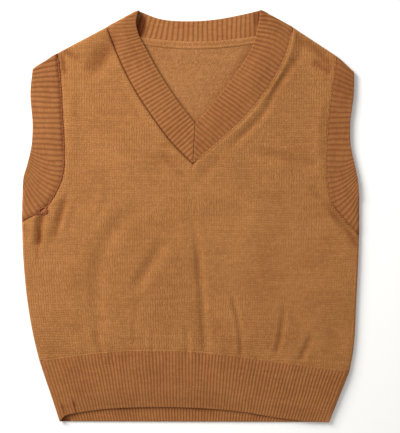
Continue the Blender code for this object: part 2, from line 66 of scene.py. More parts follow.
NECK_RIBS_LEFT = 31
NECK_RIBS_RIGHT = 32
MITRE_RIBS = 7  # the short ribs that end on the seam at the point of the V
NECK_RIBS_BACK = 31
ARMHOLE_RIBS = 34
HEM_RIBS = 91
PER_RIB = 12  # points across one rib, from groove to groove
BAND_ROWS = 26  # rows across the neckband and the armhole bands
RIB_POWER = 0.65, 1.1  # of the |sin| that shapes ribs, on the front layer and on the back one
RIB_FOOT = 0.3  # how much of a rib's height lies below the plain face

Place = namedtuple("Place", "x y")
Crease = namedtuple("Crease", "name path width depth shade left right", defaults=(0.0, 0.0, 0.0))
Armhole = namedtuple("Armhole", "side seam edge lean fade groove tone width sewn plump")
Loft = namedtuple("Loft", "name x y reach height")
Seam = namedtuple("Seam", "line dip reach shade")
Pocket = namedtuple("Pocket", "name x y half_width half_height turn shade")

# The outline: shoulder and side folds, and the places where bands and folds meet.
NECK_POINT_LEFT, NECK_POINT_RIGHT = Place(-70.5, 280), Place(95.5, 281)
NECK_CORNER_LEFT, NECK_CORNER_RIGHT = Place(-114, 258), Place(140, 257)
SHOULDER_SEAM_LEFT, SHOULDER_SEAM_RIGHT = Place(-182, 222), Place(200, 217.5)
SHOULDER_TIP_LEFT, SHOULDER_TIP_RIGHT = Place(-215, 201), Place(223, 196.5)
UNDERARM_TIP_LEFT, UNDERARM_TIP_RIGHT = Place(-228.6, 36), Place(230, 22)
UNDERARM_LEFT, UNDERARM_RIGHT = Place(-230, -8), Place(230, -26)
WAIST_LEFT, WAIST_RIGHT = Place(-206, -198), Place(217, -212)
HEM_TIP_LEFT, HEM_TIP_RIGHT = Place(-178, -280.5), Place(189, -281.5)
SIDE_LEFT = [UNDERARM_LEFT, (-228, -60), (-222, -120), (-213, -170), WAIST_LEFT]
SIDE_RIGHT = [WAIST_RIGHT, (222, -184), (226, -120), (229, -60), UNDERARM_RIGHT]

# Where the bands are sewn on, and the bands' free edges.
ARMHOLE_SEAM_LEFT = [
    SHOULDER_SEAM_LEFT, (-178, 190), (-175, 139), (-172.5, 90),
    (-174, 58), (-183, 33), (-204, 7), UNDERARM_LEFT,
]
ARMHOLE_EDGE_LEFT = [
    SHOULDER_TIP_LEFT, (-218, 170), (-215, 120), (-216.5, 96),
    (-222, 71), (-227.5, 52), UNDERARM_TIP_LEFT,
]
ARMHOLE_SEAM_RIGHT = [
    SHOULDER_SEAM_RIGHT, (195, 186), (188, 128), (185, 80),
    (187, 42), (193.5, 15), (208, -3.5), UNDERARM_RIGHT,
]
ARMHOLE_EDGE_RIGHT = [
    SHOULDER_TIP_RIGHT, (222.5, 168), (217.5, 124), (218, 98),
    (223.5, 71), (228.5, 46), UNDERARM_TIP_RIGHT,
]
# The linking yarn ends in loose loops above the left underarm.
UNDERARM_LOOPS = [
    (-183, 33), (-194, 15), (-199, 5), (-205, 3), (-205, 9), (-198, 11),
    (-195, 6), (-200, 2), (-208, 3), (-217, -1),
]
V_SEAM = Place(3.4, 71)  # the point of the V, on the seam
V_EDGE = Place(6.4, 126.4)  # and on the free edge
NECK_SEAM_LEFT = [
    NECK_CORNER_LEFT, (-99, 219), (-79, 178), (-51, 134), (-21, 95), V_SEAM,
]
NECK_EDGE_LEFT = [
    NECK_POINT_LEFT, (-74, 262), (-71, 249), (-60, 227), (-44, 198), (-17, 156.5), V_EDGE,
]
NECK_SEAM_RIGHT = [
    NECK_CORNER_RIGHT, (133, 226), (115, 188.5), (81, 141.5), (41.5, 103.5), V_SEAM,
]
NECK_EDGE_RIGHT = [
    NECK_POINT_RIGHT, (92, 259), (84, 231), (57.5, 188.5), (31, 154), V_EDGE,
]
NECK_SEAM_BACK = [
    NECK_CORNER_LEFT, (-96, 247.5), (-65, 242), (-2, 236.4),
    (67.5, 240.5), (89.5, 244), (121, 250), NECK_CORNER_RIGHT,
]
NECK_EDGE_BACK = [
    NECK_POINT_LEFT, (-43, 269.7), (-2, 266.2), (30, 268), (67.5, 274.5),
    NECK_POINT_RIGHT,
]
BACK_NECK_PITCH = 6.4  # of the ribs inside the back neck, which run straight up
MITRE_SHARE = 0.82  # share of a front neck seam that lies above the ribs that the mitre cuts
HEM_SEAM_FRONT = [
    WAIST_LEFT, (-190, -195.5), (-128, -187), (-55, -183),
    (6, -185), (88, -194.5), (164, -205), WAIST_RIGHT,
]
HEM_EDGE_FRONT = [
    HEM_TIP_LEFT, (-171, -272.5), (-158, -269.5), (-120, -264), (-55, -261),
    (6, -262), (70, -267.5), (126, -276.5), (160, -280.5), HEM_TIP_RIGHT,
]
HEM_SEAM_BACK = [WAIST_LEFT, (-70, -201), (70, -202), WAIST_RIGHT]
HEM_EDGE_BACK = [HEM_TIP_LEFT, HEM_TIP_RIGHT]
CENTRE_X = 6.0  # where the panels' middle columns meet the hem and the back neck

# Creases in the front, along a path: a trough of that depth in its middle, or a ridge where the
# depth is below 0, how much shade is painted into the colour along it, and the ridges to the
# left and right of it, seen going along the path.
FRONT_CREASES = [
    Crease(
        "centre pleat", [(4, -6), (10, -42), (14, -86), (18, -142), (22, -192)],
        5.0, 2.7, 0.1, 0.4, 1.2,
    ),
    Crease("centre pleat fall", [(0, -40), (4, -100), (9, -150), (14, -194)], 8.0, 0.8, 0.2),
    Crease("right pleat", [(56, -100), (61, -125), (68, -158), (70, -194)], 3.2, 2.0, 0.1, 0.3, 0.8),
    Crease(
        "outer right pleat", [(128, -112), (127, -136), (123, -162), (116, -194)],
        3.8, 1.9, 0.14, 0.6, 0.5,
    ),
    Crease(
        "left drape",
        [(-56, 21), (-78, 8), (-98, -11), (-115, -36), (-126, -66), (-128, -97), (-126, -136), (-119, -178)],
        10.0, 2.0, 0.06, 0.5, 0.5,
    ),
    Crease(
        "left diagonal", [(-30, -26), (-46, -51), (-61, -75), (-77, -101)],
        8.0, 2.6, 0.14, 0.5, 0.5,
    ),
    Crease("right chest drag", [(80, 91), (128, 79), (178, 69)], 7.0, 2.2, 0.2, 0.6, 0.6),
    Crease(
        "left shoulder drag", [(-98, 252), (-109, 234), (-123, 214), (-139, 192)],
        13.0, 2.8, 0.55, 0.6, 0.5,
    ),
    Crease(
        "right shoulder turn", [(134, 253), (151, 241), (168, 229), (186, 212), (197, 200)],
        7.0, 1.2, 0.5, 0.0, 0.4,
    ),
    Crease(
        "right shoulder drag", [(140, 240), (163, 230), (181, 219), (192, 206)],
        5.0, 1.5, 0.0, 0.2, 0.6,
    ),
    Crease("right shoulder dent", [(162, 212), (177, 204), (193, 194)], 6.0, 1.6, 0.6, 0.2, 0.3),
    Crease("right neck turn", [(99, 284), (101, 262)], 7.0, 0.3, 0.4),
    Crease("armhole top dent", [(-179, 226), (-174, 210), (-171, 190)], 5.5, 1.8, 0.6, 0.5, 0.4),
    Crease("left shoulder dent", [(-178, 229), (-164, 221), (-150, 213)], 5.0, 1.0, 0.5, 0.2, 0.2),
    Crease("left underarm pucker", [(-200, 10), (-205, -10), (-207, -42)], 5.0, 3.4, 1.0, 1.2, 1.4),
    Crease("left pucker tail", [(-208, -36), (-209, -68)], 3.0, 0.8, 0.3, 0.3, 0.3),
    Crease(
        "left underarm drag", [(-167, 34), (-175, 9), (-182, -16), (-186, -32)],
        5.2, 2.5, 0.6, 0.8, 0.6,
    ),
    Crease("left hem gather", [(-133, -152), (-118, -192)], 3.8, 1.8, 0.2, 0.5, 0.5),
    Crease("inner hem gather", [(-72, -104), (-75, -150), (-76, -188)], 4.2, 0.6, 0.0, 0.2, 0.5),
    Crease("small hem gather", [(-51, -154), (-51, -186)], 3.2, 1.1, 0.0, 0.3, 0.4),
    Crease("middle hem gather", [(-6, -148), (-3, -189)], 3.6, 1.4, 0.15, 0.5, 0.2),
    Crease("hem corner tuck", [(-176, -252), (-171, -271)], 1.7, 1.4, 0.9, 0.5, 0.5),
    Crease("second corner tuck", [(-159, -248), (-156, -270)], 1.9, 1.4, 0.9, 0.5, 0.6),
    Crease("right hem gather", [(165, -160), (150, -199)], 4.2, 2.1, 0.3, 0.4, 0.4),
    Crease("left side ridge", [(-163, -50), (-160, -110), (-156, -160)], 8.0, -1.2),
    Crease("left armhole roll", [(-165, 196), (-161, 130), (-161, 66)], 7.0, -1.1),
    Crease("right armhole roll", [(180, 172), (174, 113), (175, 52)], 6.0, -1.0),
    Crease("left chest ridge", [(-118, 38), (-126, 18), (-134, 0)], 6.0, -0.9),
    Crease("upper pleat ridge", [(-14, 30), (-8, -40), (2, -90)], 6.0, -0.8),
    Crease(
        "right neck trough",
        [(151, 225), (137, 203), (120, 178), (109, 156), (97, 136.5), (82, 121), (66, 105.5), (52, 93.5)],
        4.8, 1.8, 0.3, 0.3, 0.2,
    ),
    Crease("left neck fall", [(-104, 190), (-85, 160), (-66, 128), (-45, 98)], 5.0, 0.6, 0.12),
    Crease("right neck corner", [(151, 243), (148, 226), (139, 204)], 6.0, 0.8, 0.45),
    Crease(
        "right underarm tuck", [(182, 22), (195, 1), (209, -14), (222, -32), (230, -46)],
        5.0, 1.4, 0.6, 0.2, 0.3,
    ),
    Crease("right armhole drag", [(160, 44), (172, 28), (186, 14)], 6.0, 1.2, 0.25, 0.2, 0.2),
    Crease("left of the point", [(-46, 94), (-23, 67), (-6, 51)], 7.0, 0.9, 0.22),
    Crease("right of the point", [(46, 88), (25, 65), (10, 51)], 7.0, 0.9, 0.22),
    # The two falls below are broad painted shade, with little or no depth, where the cloth turns from the
    # light.
    Crease("right hem corner fall", [(186, -140), (200, -204)], 14.0, 0.5, 0.14),
    Crease("low right fall", [(90, -10), (112, -100), (108, -200)], 42.0, 0.0, 0.11),
]
# The back lies flat, so its creases are softer: they lift it a little off what it lies on.
BACK_CREASES = [
    Crease("back left drape", [(-150, 60), (-120, -20), (-112, -130)], 12.0, -0.9),
    Crease("back middle pleat", [(22, -40), (16, -120), (10, -194)], 7.0, -0.9),
    Crease("back right drape", [(168, 90), (128, 20), (118, -90)], 13.0, -0.8),
    Crease("back shoulder drag", [(-130, 210), (-84, 170), (-60, 120)], 10.0, -0.7),
    Crease("back hem gather", [(-66, -150), (-60, -198)], 5.0, -0.6),
]
# How many ribs the free edge lags behind the seam, by rib number: the ribs' lean along a band.
NECK_LEAN_LEFT = [
    (-1, -4.4), (4.6, -3.6), (6, -2.7), (9, -2.1), (12.5, -1.6), (17, -1.2), (25, -0.5), (31, 0),
]
NECK_LEAN_RIGHT = [(-1, -1.5), (4, -1.0), (11, -0.7), (25, -0.3), (32, 0)]
NECK_ARCH_RIGHT = [(-1, 1.1), (4, 0.9), (9, 0.3), (14, 0)]  # how far ribs bow between the two
ARMHOLE_LEAN_LEFT = [
    (-1, 2.0), (1, 1.9), (4, 1.1), (8, 0.1), (12.5, -1.5), (22, -4.6), (24, -4.2), (26, -3.4), (28, -2.4),
    (30, -1.6), (32, -1.7), (34, -2.2),
]
ARMHOLE_LEAN_RIGHT = [
    (-1, 1.1), (4, 0.3), (6, 0.0), (12, -1.2), (22.5, -4.5), (24.5, -4.4), (27.5, -3.5),
    (29.5, -2.6), (35, -2.6),
]
NO_LEAN = [(0, 0), (1, 0)]
# fade and the two painted shades, in the grooves and over the front layer, are the ribs', as in
# band_shell. The band was cut from a strip of that width, in metres. Its stitches follow their
# own line, and are as thick as plump at its ends.
ARMHOLES = [
    Armhole(
        "left", ARMHOLE_SEAM_LEFT, ARMHOLE_EDGE_LEFT, ARMHOLE_LEAN_LEFT,
        fade=0.6, groove=0.4, tone=0.2, width=0.048,
        sewn=ARMHOLE_SEAM_LEFT[:-3] + UNDERARM_LOOPS, plump=(1.6, 1.4),
    ),
    Armhole(
        "right", ARMHOLE_SEAM_RIGHT, ARMHOLE_EDGE_RIGHT, ARMHOLE_LEAN_RIGHT,
        fade=0.4, groove=0.35, tone=0.3, width=0.044,
        sewn=ARMHOLE_SEAM_RIGHT, plump=(0.7, 0.8),
    ),
]
BACK_NECK_FAN = 0.19  # how far the ribs inside the back neck spread to the left at the seam
RIDGE_OFF = 1.7  # how far from a crease's middle its ridges stand, of its width
DEEPEST = 2.5  # how far a trough may reach down towards the back layer

# Where the fold between the layers is fuller, so that the front stands higher.
LOFTS = [
    Loft("left neck fold", -74, 274, 26, 5.0),
    Loft("right neck fold", 98, 275, 22, 2.4),
    Loft("left hem corner", -174, -277, 11, 2.2),
]
PUFF, PUFF_REACH = 0.5, 45.0  # how far the front stands above its folded sides, and how soon
WELT_LEFT, WELT_RIGHT = 0.5, 1.2  # height of the roll in the panel beside the neck seam
WELT_AT, WELT_WIDTH = 4.2, 3.8  # its distance from the seam, and its width
EDGE_SINKS, EDGE_REACH = (1.5, 1.5, 2.1), 12.0  # how far the front sinks at each free edge, and how soon

# How far the cloth is drawn down at each seam, over what reach, and how much shade is painted in its hollow.
FRONT_SEAMS = [
    Seam(NECK_SEAM_LEFT, 0.9, 2.0, 0.65),
    Seam(NECK_SEAM_RIGHT, 0.2, 2.2, 0.1),
    Seam(ARMHOLE_SEAM_LEFT, 1.2, 3.0, 0.3),
    Seam(ARMHOLE_SEAM_LEFT[:4], 0.6, 3.0, 0.7),
    Seam(ARMHOLE_SEAM_RIGHT, 0.3, 3.0, 0.1),
    Seam(ARMHOLE_SEAM_RIGHT[-3:], 0.6, 3.0, 1.0),
    Seam(HEM_SEAM_FRONT, 0.3, 2.4, 0.1),
]
BACK_SEAMS = [
    Seam(NECK_SEAM_BACK, 0.0, 2.2, 0.2),
    Seam(ARMHOLE_SEAM_LEFT, 0.0, 2.6, 0.2),
    Seam(ARMHOLE_SEAM_RIGHT, 0.0, 2.6, 0.2),
    Seam(HEM_SEAM_BACK, 0.0, 2.4, 0.2),
]
SHADE_REACH = 1.3  # how far from a seam the shade painted in its hollow reaches
# Shadow painted on the back layer's inside in the hollows under the front layer's edges, where little light
# reaches it.
PAINTED_POCKET_SHADOWS = [
    Pocket("left neck fold", -67.0, 259, 7.0, 16.0, -0.12, 1.0),
    Pocket("right neck fold", 91.0, 269, 6.0, 11.0, 0.15, 0.5),
    Pocket("right neck shade", 72, 210, 9.0, 46.0, -0.5, 0.2),
    Pocket("left hem mouth", -171, -278, 9.0, 5.0, 0.3, 1.0),
]
# Shadow painted on the back layer along each edge of the front above it: the edge, how far it reaches, how
# dark.
PAINTED_EDGE_SHADOWS = [(NECK_EDGE_LEFT, 1.6, 0.25), (NECK_EDGE_RIGHT, 9.0, 0.14), (HEM_EDGE_FRONT, 1.3, 0.45)]


def walked(line):
    """How far along a polyline each of its points is."""
    return np.concatenate([[0], np.cumsum(np.linalg.norm(np.diff(line, axis=0), axis=1))])


def smooth(places, step=1.0):
    """A polyline, about step apart, along a chord-length Catmull-Rom curve through the places."""
    p = np.array(places, float)
    if len(p) == 2:
        return p[0] + np.linspace(0, 1, 60)[:, None] * (p[1] - p[0])
    knots = walked(p)
    slope = np.gradient(p, knots, axis=0)
    line = []
    for i in range(len(p) - 1):
        span = knots[i + 1] - knots[i]
        t = np.linspace(0, 1, max(3, int(span / step)), endpoint=False)[:, None]
        line.append(
            (1 + 2 * t) * (1 - t) ** 2 * p[i] + t * (1 - t) ** 2 * span * slope[i]
            + t**2 * (3 - 2 * t) * p[i + 1] - t**2 * (1 - t) * span * slope[i + 1]
        )
    return np.concatenate(line + [p[-1:]])


def along(line, shares):
    """Points at the given shares of a polyline's length."""
    way = walked(line)
    at = np.asarray(shares) * way[-1]
    return np.stack([np.interp(at, way, line[:, k]) for k in range(line.shape[1])], axis=-1)


def beside(line, at, right, off=SEAM_GAP):
    """Points off a seam's right (1) or left (-1), at shares of its length, square to it."""
    points = along(line, at)
    way = np.gradient(points, axis=0)
    out = right * np.stack([way[:, 1], -way[:, 0]], axis=1)
    return points + out / np.linalg.norm(out, axis=1)[:, None] * off


def shares(line, count, start=0.0, end=0.0, steps=FOLD_STEPS):
    """Shares of the length: count even ones, and close ones over the reach given at either end."""
    steps, long = np.array(steps[:-1]) / steps[-1], walked(line)[-1]
    before = steps * start if start else np.zeros(0)
    after = long - steps[::-1] * end if end else np.zeros(0)
    return np.concatenate([before, np.linspace(start, long - end, count + 1), after]) / long


def smoothstep(x):
    """0 up to 0, 1 from 1 on, and smooth between."""
    x = np.clip(x, 0, 1)
    return x * x * (3 - 2 * x)


def bell(x):
    """1 at 0, and 0.37 a distance of 1 away."""
    return np.exp(-(x**2))


def nearest(plan, line):
    """Each plan point's way to a polyline: its length, the way itself, its side and its share.

    The side is 1 on the line's left and -1 on its right; the share is how far along the
    line the way ends.
    """
    a, way = line[:-1], np.diff(line, axis=0)
    t = np.clip(((plan[:, None] - a) * way).sum(2) / (way**2).sum(1), 0, 1)
    to = a + t[..., None] * way - plan[:, None]
    gap = np.linalg.norm(to, axis=2)
    best = gap.argmin(1)
    rows = np.arange(len(plan))
    to, way = to[rows, best], way[best]
    side = np.sign(way[:, 1] * to[:, 0] - way[:, 0] * to[:, 1])
    return gap[rows, best], to, side, (best + t[rows, best]) / len(a)


COARSE, COARSER, COARSEST = 5.0, 6.0, 8.0  # steps of polylines that distances are measured to
FOLD_BLEND = 9.0  # the stretch of a fold line over which its direction is averaged
FOLD_LINES = [
    along(line, np.linspace(0, 1, int(walked(line)[-1] / COARSER)))
    for line in (
        np.array([NECK_POINT_LEFT, NECK_CORNER_LEFT, SHOULDER_SEAM_LEFT, SHOULDER_TIP_LEFT], float),
        np.concatenate([[UNDERARM_TIP_LEFT], smooth(SIDE_LEFT), [HEM_TIP_LEFT]]),
        np.concatenate([[HEM_TIP_RIGHT], smooth(SIDE_RIGHT), [UNDERARM_TIP_RIGHT]]),
        np.array([SHOULDER_TIP_RIGHT, SHOULDER_SEAM_RIGHT, NECK_CORNER_RIGHT, NECK_POINT_RIGHT], float),
    )
]
FREE_EDGES = [smooth(p, COARSEST) for p in (NECK_EDGE_LEFT, NECK_EDGE_RIGHT, HEM_EDGE_FRONT)]


def fold_at(plan):
    """Distance from each plan point in to the nearest fold line, and the direction outwards to it.

    The direction is the fold line's right-hand side, averaged over the stretch nearby, or
    past the line's ends the straight way to them.
    """
    best, out = np.full(len(plan), np.inf), np.zeros_like(plan)
    for line in FOLD_LINES:
        gap, to, _, share = nearest(plan, line)
        middle, way = (line[1:] + line[:-1]) / 2, np.diff(line, axis=0)
        farther = ((plan[:, None] - middle) ** 2).sum(2) - gap[:, None] ** 2
        weight = np.exp(-farther / FOLD_BLEND**2)
        normal = weight @ np.stack([way[:, 1], -way[:, 0]], axis=1)
        normal /= np.linalg.norm(normal, axis=1)[:, None] + 1e-12
        gap = np.where(((to * normal).sum(1) < 0) & (gap < FOLD_RADIUS), 0.0, gap)
        straight = ((share < 1e-6) | (share > 1 - 1e-6)) & (gap > 0.02)  # past an end of the line
        normal[straight] = to[straight] / gap[straight, None]
        closer = gap < best
        best, out = np.where(closer, gap, best), np.where(closer[:, None], normal, out)
    return best, out


def crease_form(plan, crease):
    """Height and painted shade of one crease: a trough along its path, with a ridge at either side.

    They are three bell curves across the path. They swell and fade along it, and a slow
    wave makes them uneven.
    """
    line = smooth(crease.path, COARSE)
    box = (plan > line.min(0) - 4 * crease.width) & (plan < line.max(0) + 4 * crease.width)
    near = box.all(1)
    gap, _, side, share = nearest(plan[near], line)
    across = gap * side / crease.width
    fade = smoothstep(share / 0.3) * smoothstep((1 - share) / 0.2 + 0.25)
    fade *= bell((share >= 1 - 1e-6) * across)
    fade *= 0.88 + 0.12 * np.sin(9 * share + crease.path[0][0])
    ridges = crease.left * bell(across - RIDGE_OFF) + crease.right * bell(across + RIDGE_OFF)
    height, shade = np.zeros(len(plan)), np.zeros(len(plan))
    height[near] = fade * (ridges - crease.depth * bell(across))
    shade[near] = fade * crease.shade * np.exp(-1.6 * across**2)
    return height, shade


def ripple(plan):
    """Slow unevenness of cloth laid by hand: three crossing waves, and gathers close above the hem."""
    x, y = plan.T
    waves = 0.22 * np.sin(x / 31 + y / 47) + 0.18 * np.sin(x / 19 - y / 37 + 2)
    waves += 0.12 * np.sin(x / 11 + y / 23)
    gathers = 0.22 * np.sin(x / 3.1 + 1) + 0.3 * np.sin(x / 5.3 + np.sin(x / 17))
    return waves + gathers * bell((y + 188) / 24)


def front_height(plan, gap):
    """How far the front layer stands above the plane that its folded sides give it.

    The sum of the puff, the creases, the rolls beside the neck seams and the slow ripple, let
    out smoothly from the fold. Troughs are bounded by a tanh, and it sinks at its free edges.
    """
    height = PUFF * (1 - np.exp(-gap / PUFF_REACH)) + ripple(plan)
    for crease in FRONT_CREASES:
        height += crease_form(plan, crease)[0]
    for seam, welt in ((NECK_SEAM_LEFT, WELT_LEFT), (NECK_SEAM_RIGHT, WELT_RIGHT)):
        from_seam, to, _, share = nearest(plan, smooth(seam, COARSER))
        panel_side = smoothstep(-(to[:, 0] * np.sign(seam[0].x)) / 2.0)
        fade = 1 - 0.65 * smoothstep(share * 1.2)
        height += panel_side * fade * welt * bell((from_seam - WELT_AT) / WELT_WIDTH)
    height = np.where(height < 0, DEEPEST * np.tanh(height / DEEPEST), height)
    for edge, sink in zip(FREE_EDGES, EDGE_SINKS):
        close = bell(nearest(plan, edge)[0] / EDGE_REACH)
        height = height * (1 - close) - sink * close
    return height * smoothstep(gap / (2.5 * FOLD_RADIUS))


def back_height(plan, gap):
    """The soft creases that lift the back layer, let out smoothly from the fold."""
    height = sum(crease_form(plan, crease)[0] for crease in BACK_CREASES)
    return np.clip(height, 0, None) * smoothstep(gap / (4 * FOLD_RADIUS))


def loft_at(plan):
    """How much higher than usual the front stands near each plan point: a bell over each loft."""
    height = np.zeros(len(plan))
    for loft in LOFTS:
        away = np.linalg.norm(plan - np.array([loft.x, loft.y]), axis=1)
        height += loft.height * bell(away / loft.reach)
    return height


def seam_dip(plan, seams):
    """How far the cloth is drawn down along its seams, and the distance to the nearest one."""
    dip, close = np.zeros(len(plan)), np.full(len(plan), np.inf)
    for seam in seams:
        gap = nearest(plan, smooth(seam.line, COARSE))[0]
        dip += seam.dip * bell(gap / seam.reach)
        close = np.minimum(close, gap)
    return dip, close


def painted_shade_at(plan, front):
    """The shade painted into the cloth's colour at each plan point, from 0 to 1, where little light reaches
    it.

    It is a bell across each seam and crease in the front layer, and in the back layer a
    flat-topped ellipse for each pocket and a bell across each edge of the front above it.
    """
    shade = np.zeros(len(plan))
    for seam in FRONT_SEAMS if front else BACK_SEAMS:
        shade += seam.shade * bell(nearest(plan, smooth(seam.line, COARSE))[0] / SHADE_REACH)
    if front:
        return np.clip(shade + sum(crease_form(plan, crease)[1] for crease in FRONT_CREASES), 0, 1)
    for pocket in PAINTED_POCKET_SHADOWS:
        cos, sin = np.cos(pocket.turn), np.sin(pocket.turn)
        away = (plan - np.array([pocket.x, pocket.y])) @ np.array([[cos, -sin], [sin, cos]])
        round_away = np.linalg.norm(away / np.array([pocket.half_width, pocket.half_height]), axis=1)
        shade += pocket.shade * np.exp(-(round_away**6))
    for edge, reach, dark in PAINTED_EDGE_SHADOWS:
        shade += dark * bell(nearest(plan, smooth(edge, COARSE))[0] / reach)
    return np.clip(shade, 0, 1)


def shift_y():
    """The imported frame's own middle lies this far from the tables' origin, in millimetres."""
    return -(HEM_EDGE_BACK[1].y + NECK_POINT_RIGHT.y) / 2


def lift(plan, front, outward, inward):
    """Plan points to space, on both faces of a layer.

    outward and inward are the faces' offsets from the cloth's middle. Within the fold's
    reach the layer follows a quarter circle that meets the outline; farther in the back
    lies flat, and the front has its own height.
    """
    shape = plan.shape[:-1]
    plan = plan.reshape(-1, 2)
    front = np.broadcast_to(front, shape).reshape(-1)
    gap, out = fold_at(plan)
    lean = np.clip(1 - gap / FOLD_REACH, 0, 1)
    rise = np.sqrt(1 - lean**2)
    middle = WALL / 2 + FOLD_RADIUS
    up, down = np.zeros(len(plan)), np.zeros(len(plan))
    if front.any():
        dip = seam_dip(plan[front], FRONT_SEAMS)[0]
        up[front] = front_height(plan[front], gap[front]) + loft_at(plan[front]) - dip * rise[front]
    if not front.all():
        down[~front] = back_height(plan[~front], gap[~front])
    faces = []
    for offset in (outward, inward):
        offset = np.broadcast_to(offset, shape).reshape(-1)
        flat = plan + out * (lean * (offset - WALL / 2))[:, None]
        above = middle + SPLIT + (FOLD_RADIUS + offset) * rise + up
        below = middle - (FOLD_RADIUS + offset) * rise + down
        z = np.where(front, above, below)
        faces.append(np.column_stack([flat + [0, shift_y()], z]).reshape(*shape, 3))
    return faces


def rounded(edge_gap):
    """The share of the wall's half thickness left near a cut edge: a quarter round 0.9 mm deep."""
    inside = np.clip(edge_gap / 0.9, 0, 1)
    return 0.3 + 0.7 * np.sqrt(1 - (1 - inside) ** 2)


def cells(grid):
    """The four corners of every cell of a grid, going round each cell."""
    corners = np.stack([grid[:-1, :-1], grid[:-1, 1:], grid[1:, 1:], grid[1:, :-1]], axis=2)
    return corners.reshape(-1, 4, *grid.shape[2:])


def grid_faces(rows, columns, closed=False):
    """The quads of a grid of points; closed joins its last row to the first."""
    index = np.arange(rows * columns).reshape(rows, columns)
    return cells(np.vstack([index, index[:1]]) if closed else index)


def piece_from(name, points, quads, uv, faces_of, materials, painted_shade=None):
    """A smooth-shaded mesh object from points in millimetres.

    faces_of is each quad's material, and the last argument the shade painted into each point's colour.
    """
    mesh = bpy.data.meshes.new(name)
    mesh.from_pydata((points * MM).tolist(), [], quads.tolist())
    mesh.polygons.foreach_set("use_smooth", np.ones(len(quads), bool))
    layer = mesh.uv_layers.new(name="stitches")
    layer.data.foreach_set("uv", uv.astype(np.float32).ravel())
    for material in materials:
        mesh.materials.append(material)
    mesh.polygons.foreach_set("material_index", faces_of.astype(np.int32))
    if painted_shade is None:
        painted_shade = np.zeros(len(points))
    mesh.attributes.new("painted_shade", "FLOAT", "POINT").data.foreach_set("value", painted_shade.astype(np.float32))
    mesh.update()
    piece = bpy.data.objects.new(name, mesh)
    bpy.context.scene.collection.objects.link(piece)
    return piece


def shell(name, outer, inner, faces, uv, materials, painted_shade):
    """One closed thin shell: two faces that share their quads, and a rim round every free edge.

    It is turned inside out if its signed volume, the sum of a x b . c over its triangles,
    is below zero. The last material is the inner face's.
    """
    outer, inner = outer.reshape(-1, 3), inner.reshape(-1, 3)
    count = len(outer)
    ends = np.concatenate([faces[:, [k, (k + 1) % 4]] for k in range(4)])
    ends_uv = np.concatenate([uv[:, [k, (k + 1) % 4]] for k in range(4)])
    _, first, uses = np.unique(np.sort(ends, axis=1), axis=0, return_index=True, return_counts=True)
    free = first[uses == 1]
    rim = np.column_stack([ends[free][:, ::-1], ends[free] + count])
    rim_uv = np.concatenate([ends_uv[free][:, ::-1], ends_uv[free]], axis=1)
    quads = np.concatenate([faces, faces[:, ::-1] + count, rim])
    quads_uv = np.concatenate([uv, uv[:, ::-1], rim_uv])
    side = np.repeat([0, len(materials) - 1, 0], [len(faces), len(faces), len(rim)])
    points = np.concatenate([outer, inner])
    a, b, c, d = (points[quads[:, k]] for k in range(4))
    if (np.cross(a, b) * c).sum() + (np.cross(a, c) * d).sum() < 0:
        quads, quads_uv = quads[:, ::-1], quads_uv[:, ::-1]
    return piece_from(name, points, quads, quads_uv, side, materials, np.tile(painted_shade.reshape(-1), 2))


def coons(left, right, bottom, top, across, up):
    """Points of a four-sided patch: the two ruled surfaces of its sides, less that of its corners."""
    u, v = across[..., None], up[:, None, None]
    sides = (1 - u) * left[:, None] + u * right[:, None]
    ends = (1 - v) * bottom + v * top
    foot, head = ((1 - u) * left[k] + u * right[k] for k in (0, -1))
    return sides + ends - (1 - v) * foot - v * head


def half_panel(outer_side, inner_side, bottom, top, columns):
    """Plan points of half a panel, from the side to the middle, hem to shoulder."""
    widths = np.linalg.norm(inner_side - outer_side, axis=1)[:, None]
    close = np.broadcast_to(np.array(FOLD_STEPS[:-1]) * FOLD_REACH, (len(widths), len(FOLD_STEPS) - 1))
    last = np.array(EDGE_STEPS)[::-1]
    even = FOLD_REACH + np.linspace(0, 1, columns + 1)[:-1] * (widths - FOLD_REACH - last[0])
    across = np.concatenate([close, even, widths - last], axis=1) / widths
    up = walked(outer_side)
    foot, head = along(bottom, across[0]), along(top, across[-1])
    return coons(outer_side, inner_side, foot, head, across, up / up[-1])


def to_middle(line):
    """The part of a line from its start to the panel's middle."""
    half = line[: np.abs(line[:, 0] - CENTRE_X).argmin() + 1].copy()
    half[-1, 0] = CENTRE_X
    return half


def middle_point(line, off):
    """The point of a line, which runs left to right, at the panel's middle, moved up by off."""
    return CENTRE_X, np.interp(CENTRE_X, line[:, 0], line[:, 1]) + off


def half_lines(side, armhole, hem, steps, right_hand):
    """A half panel's outer side, hem to shoulder, and its foot. right_hand is 1 on the left half."""
    foot = beside(to_middle(smooth(hem)[::right_hand]), np.linspace(0, 1, 120), -right_hand)
    foot[-1] = middle_point(smooth(hem), SEAM_GAP)
    seam = smooth(armhole)[::-1]
    up_armhole = beside(seam, shares(seam, steps.armhole, FOLD_REACH, FOLD_REACH), right_hand)
    fold = smooth(side)
    fold = fold if fold[0, 1] < fold[-1, 1] else fold[::-1]
    fold = fold[(fold[:, 1] > foot[0, 1] + 1) & (fold[:, 1] < up_armhole[0, 1] - 1)]
    fold = np.concatenate([foot[:1], fold, up_armhole[:1]])
    up_side = along(fold, shares(fold, steps.side, EDGE_STEPS[-1], steps=EDGE_STEPS)[:-1])
    return np.concatenate([up_side, up_armhole]), foot


def weld(halves):
    """Joins grids of plan points into one sheet: points in the same place become one."""
    points, faces, start = [], [], 0
    for grid, flip in halves:
        quads = grid_faces(*grid.shape[:2])
        faces.append((quads[:, ::-1] if flip else quads) + start)
        points.append(grid.reshape(-1, 2))
        start += grid.shape[0] * grid.shape[1]
    points = np.concatenate(points)
    _, first, index = np.unique(np.round(points, 2), axis=0, return_index=True, return_inverse=True)
    return points[first], index.reshape(-1)[np.concatenate(faces)]


def heights(lines):
    """How far up each row of a panel is, as a share, averaged over its two halves."""
    return np.mean([(line[:, 1] - line[0, 1]) / (line[-1, 1] - line[0, 1]) for line in lines], axis=0)


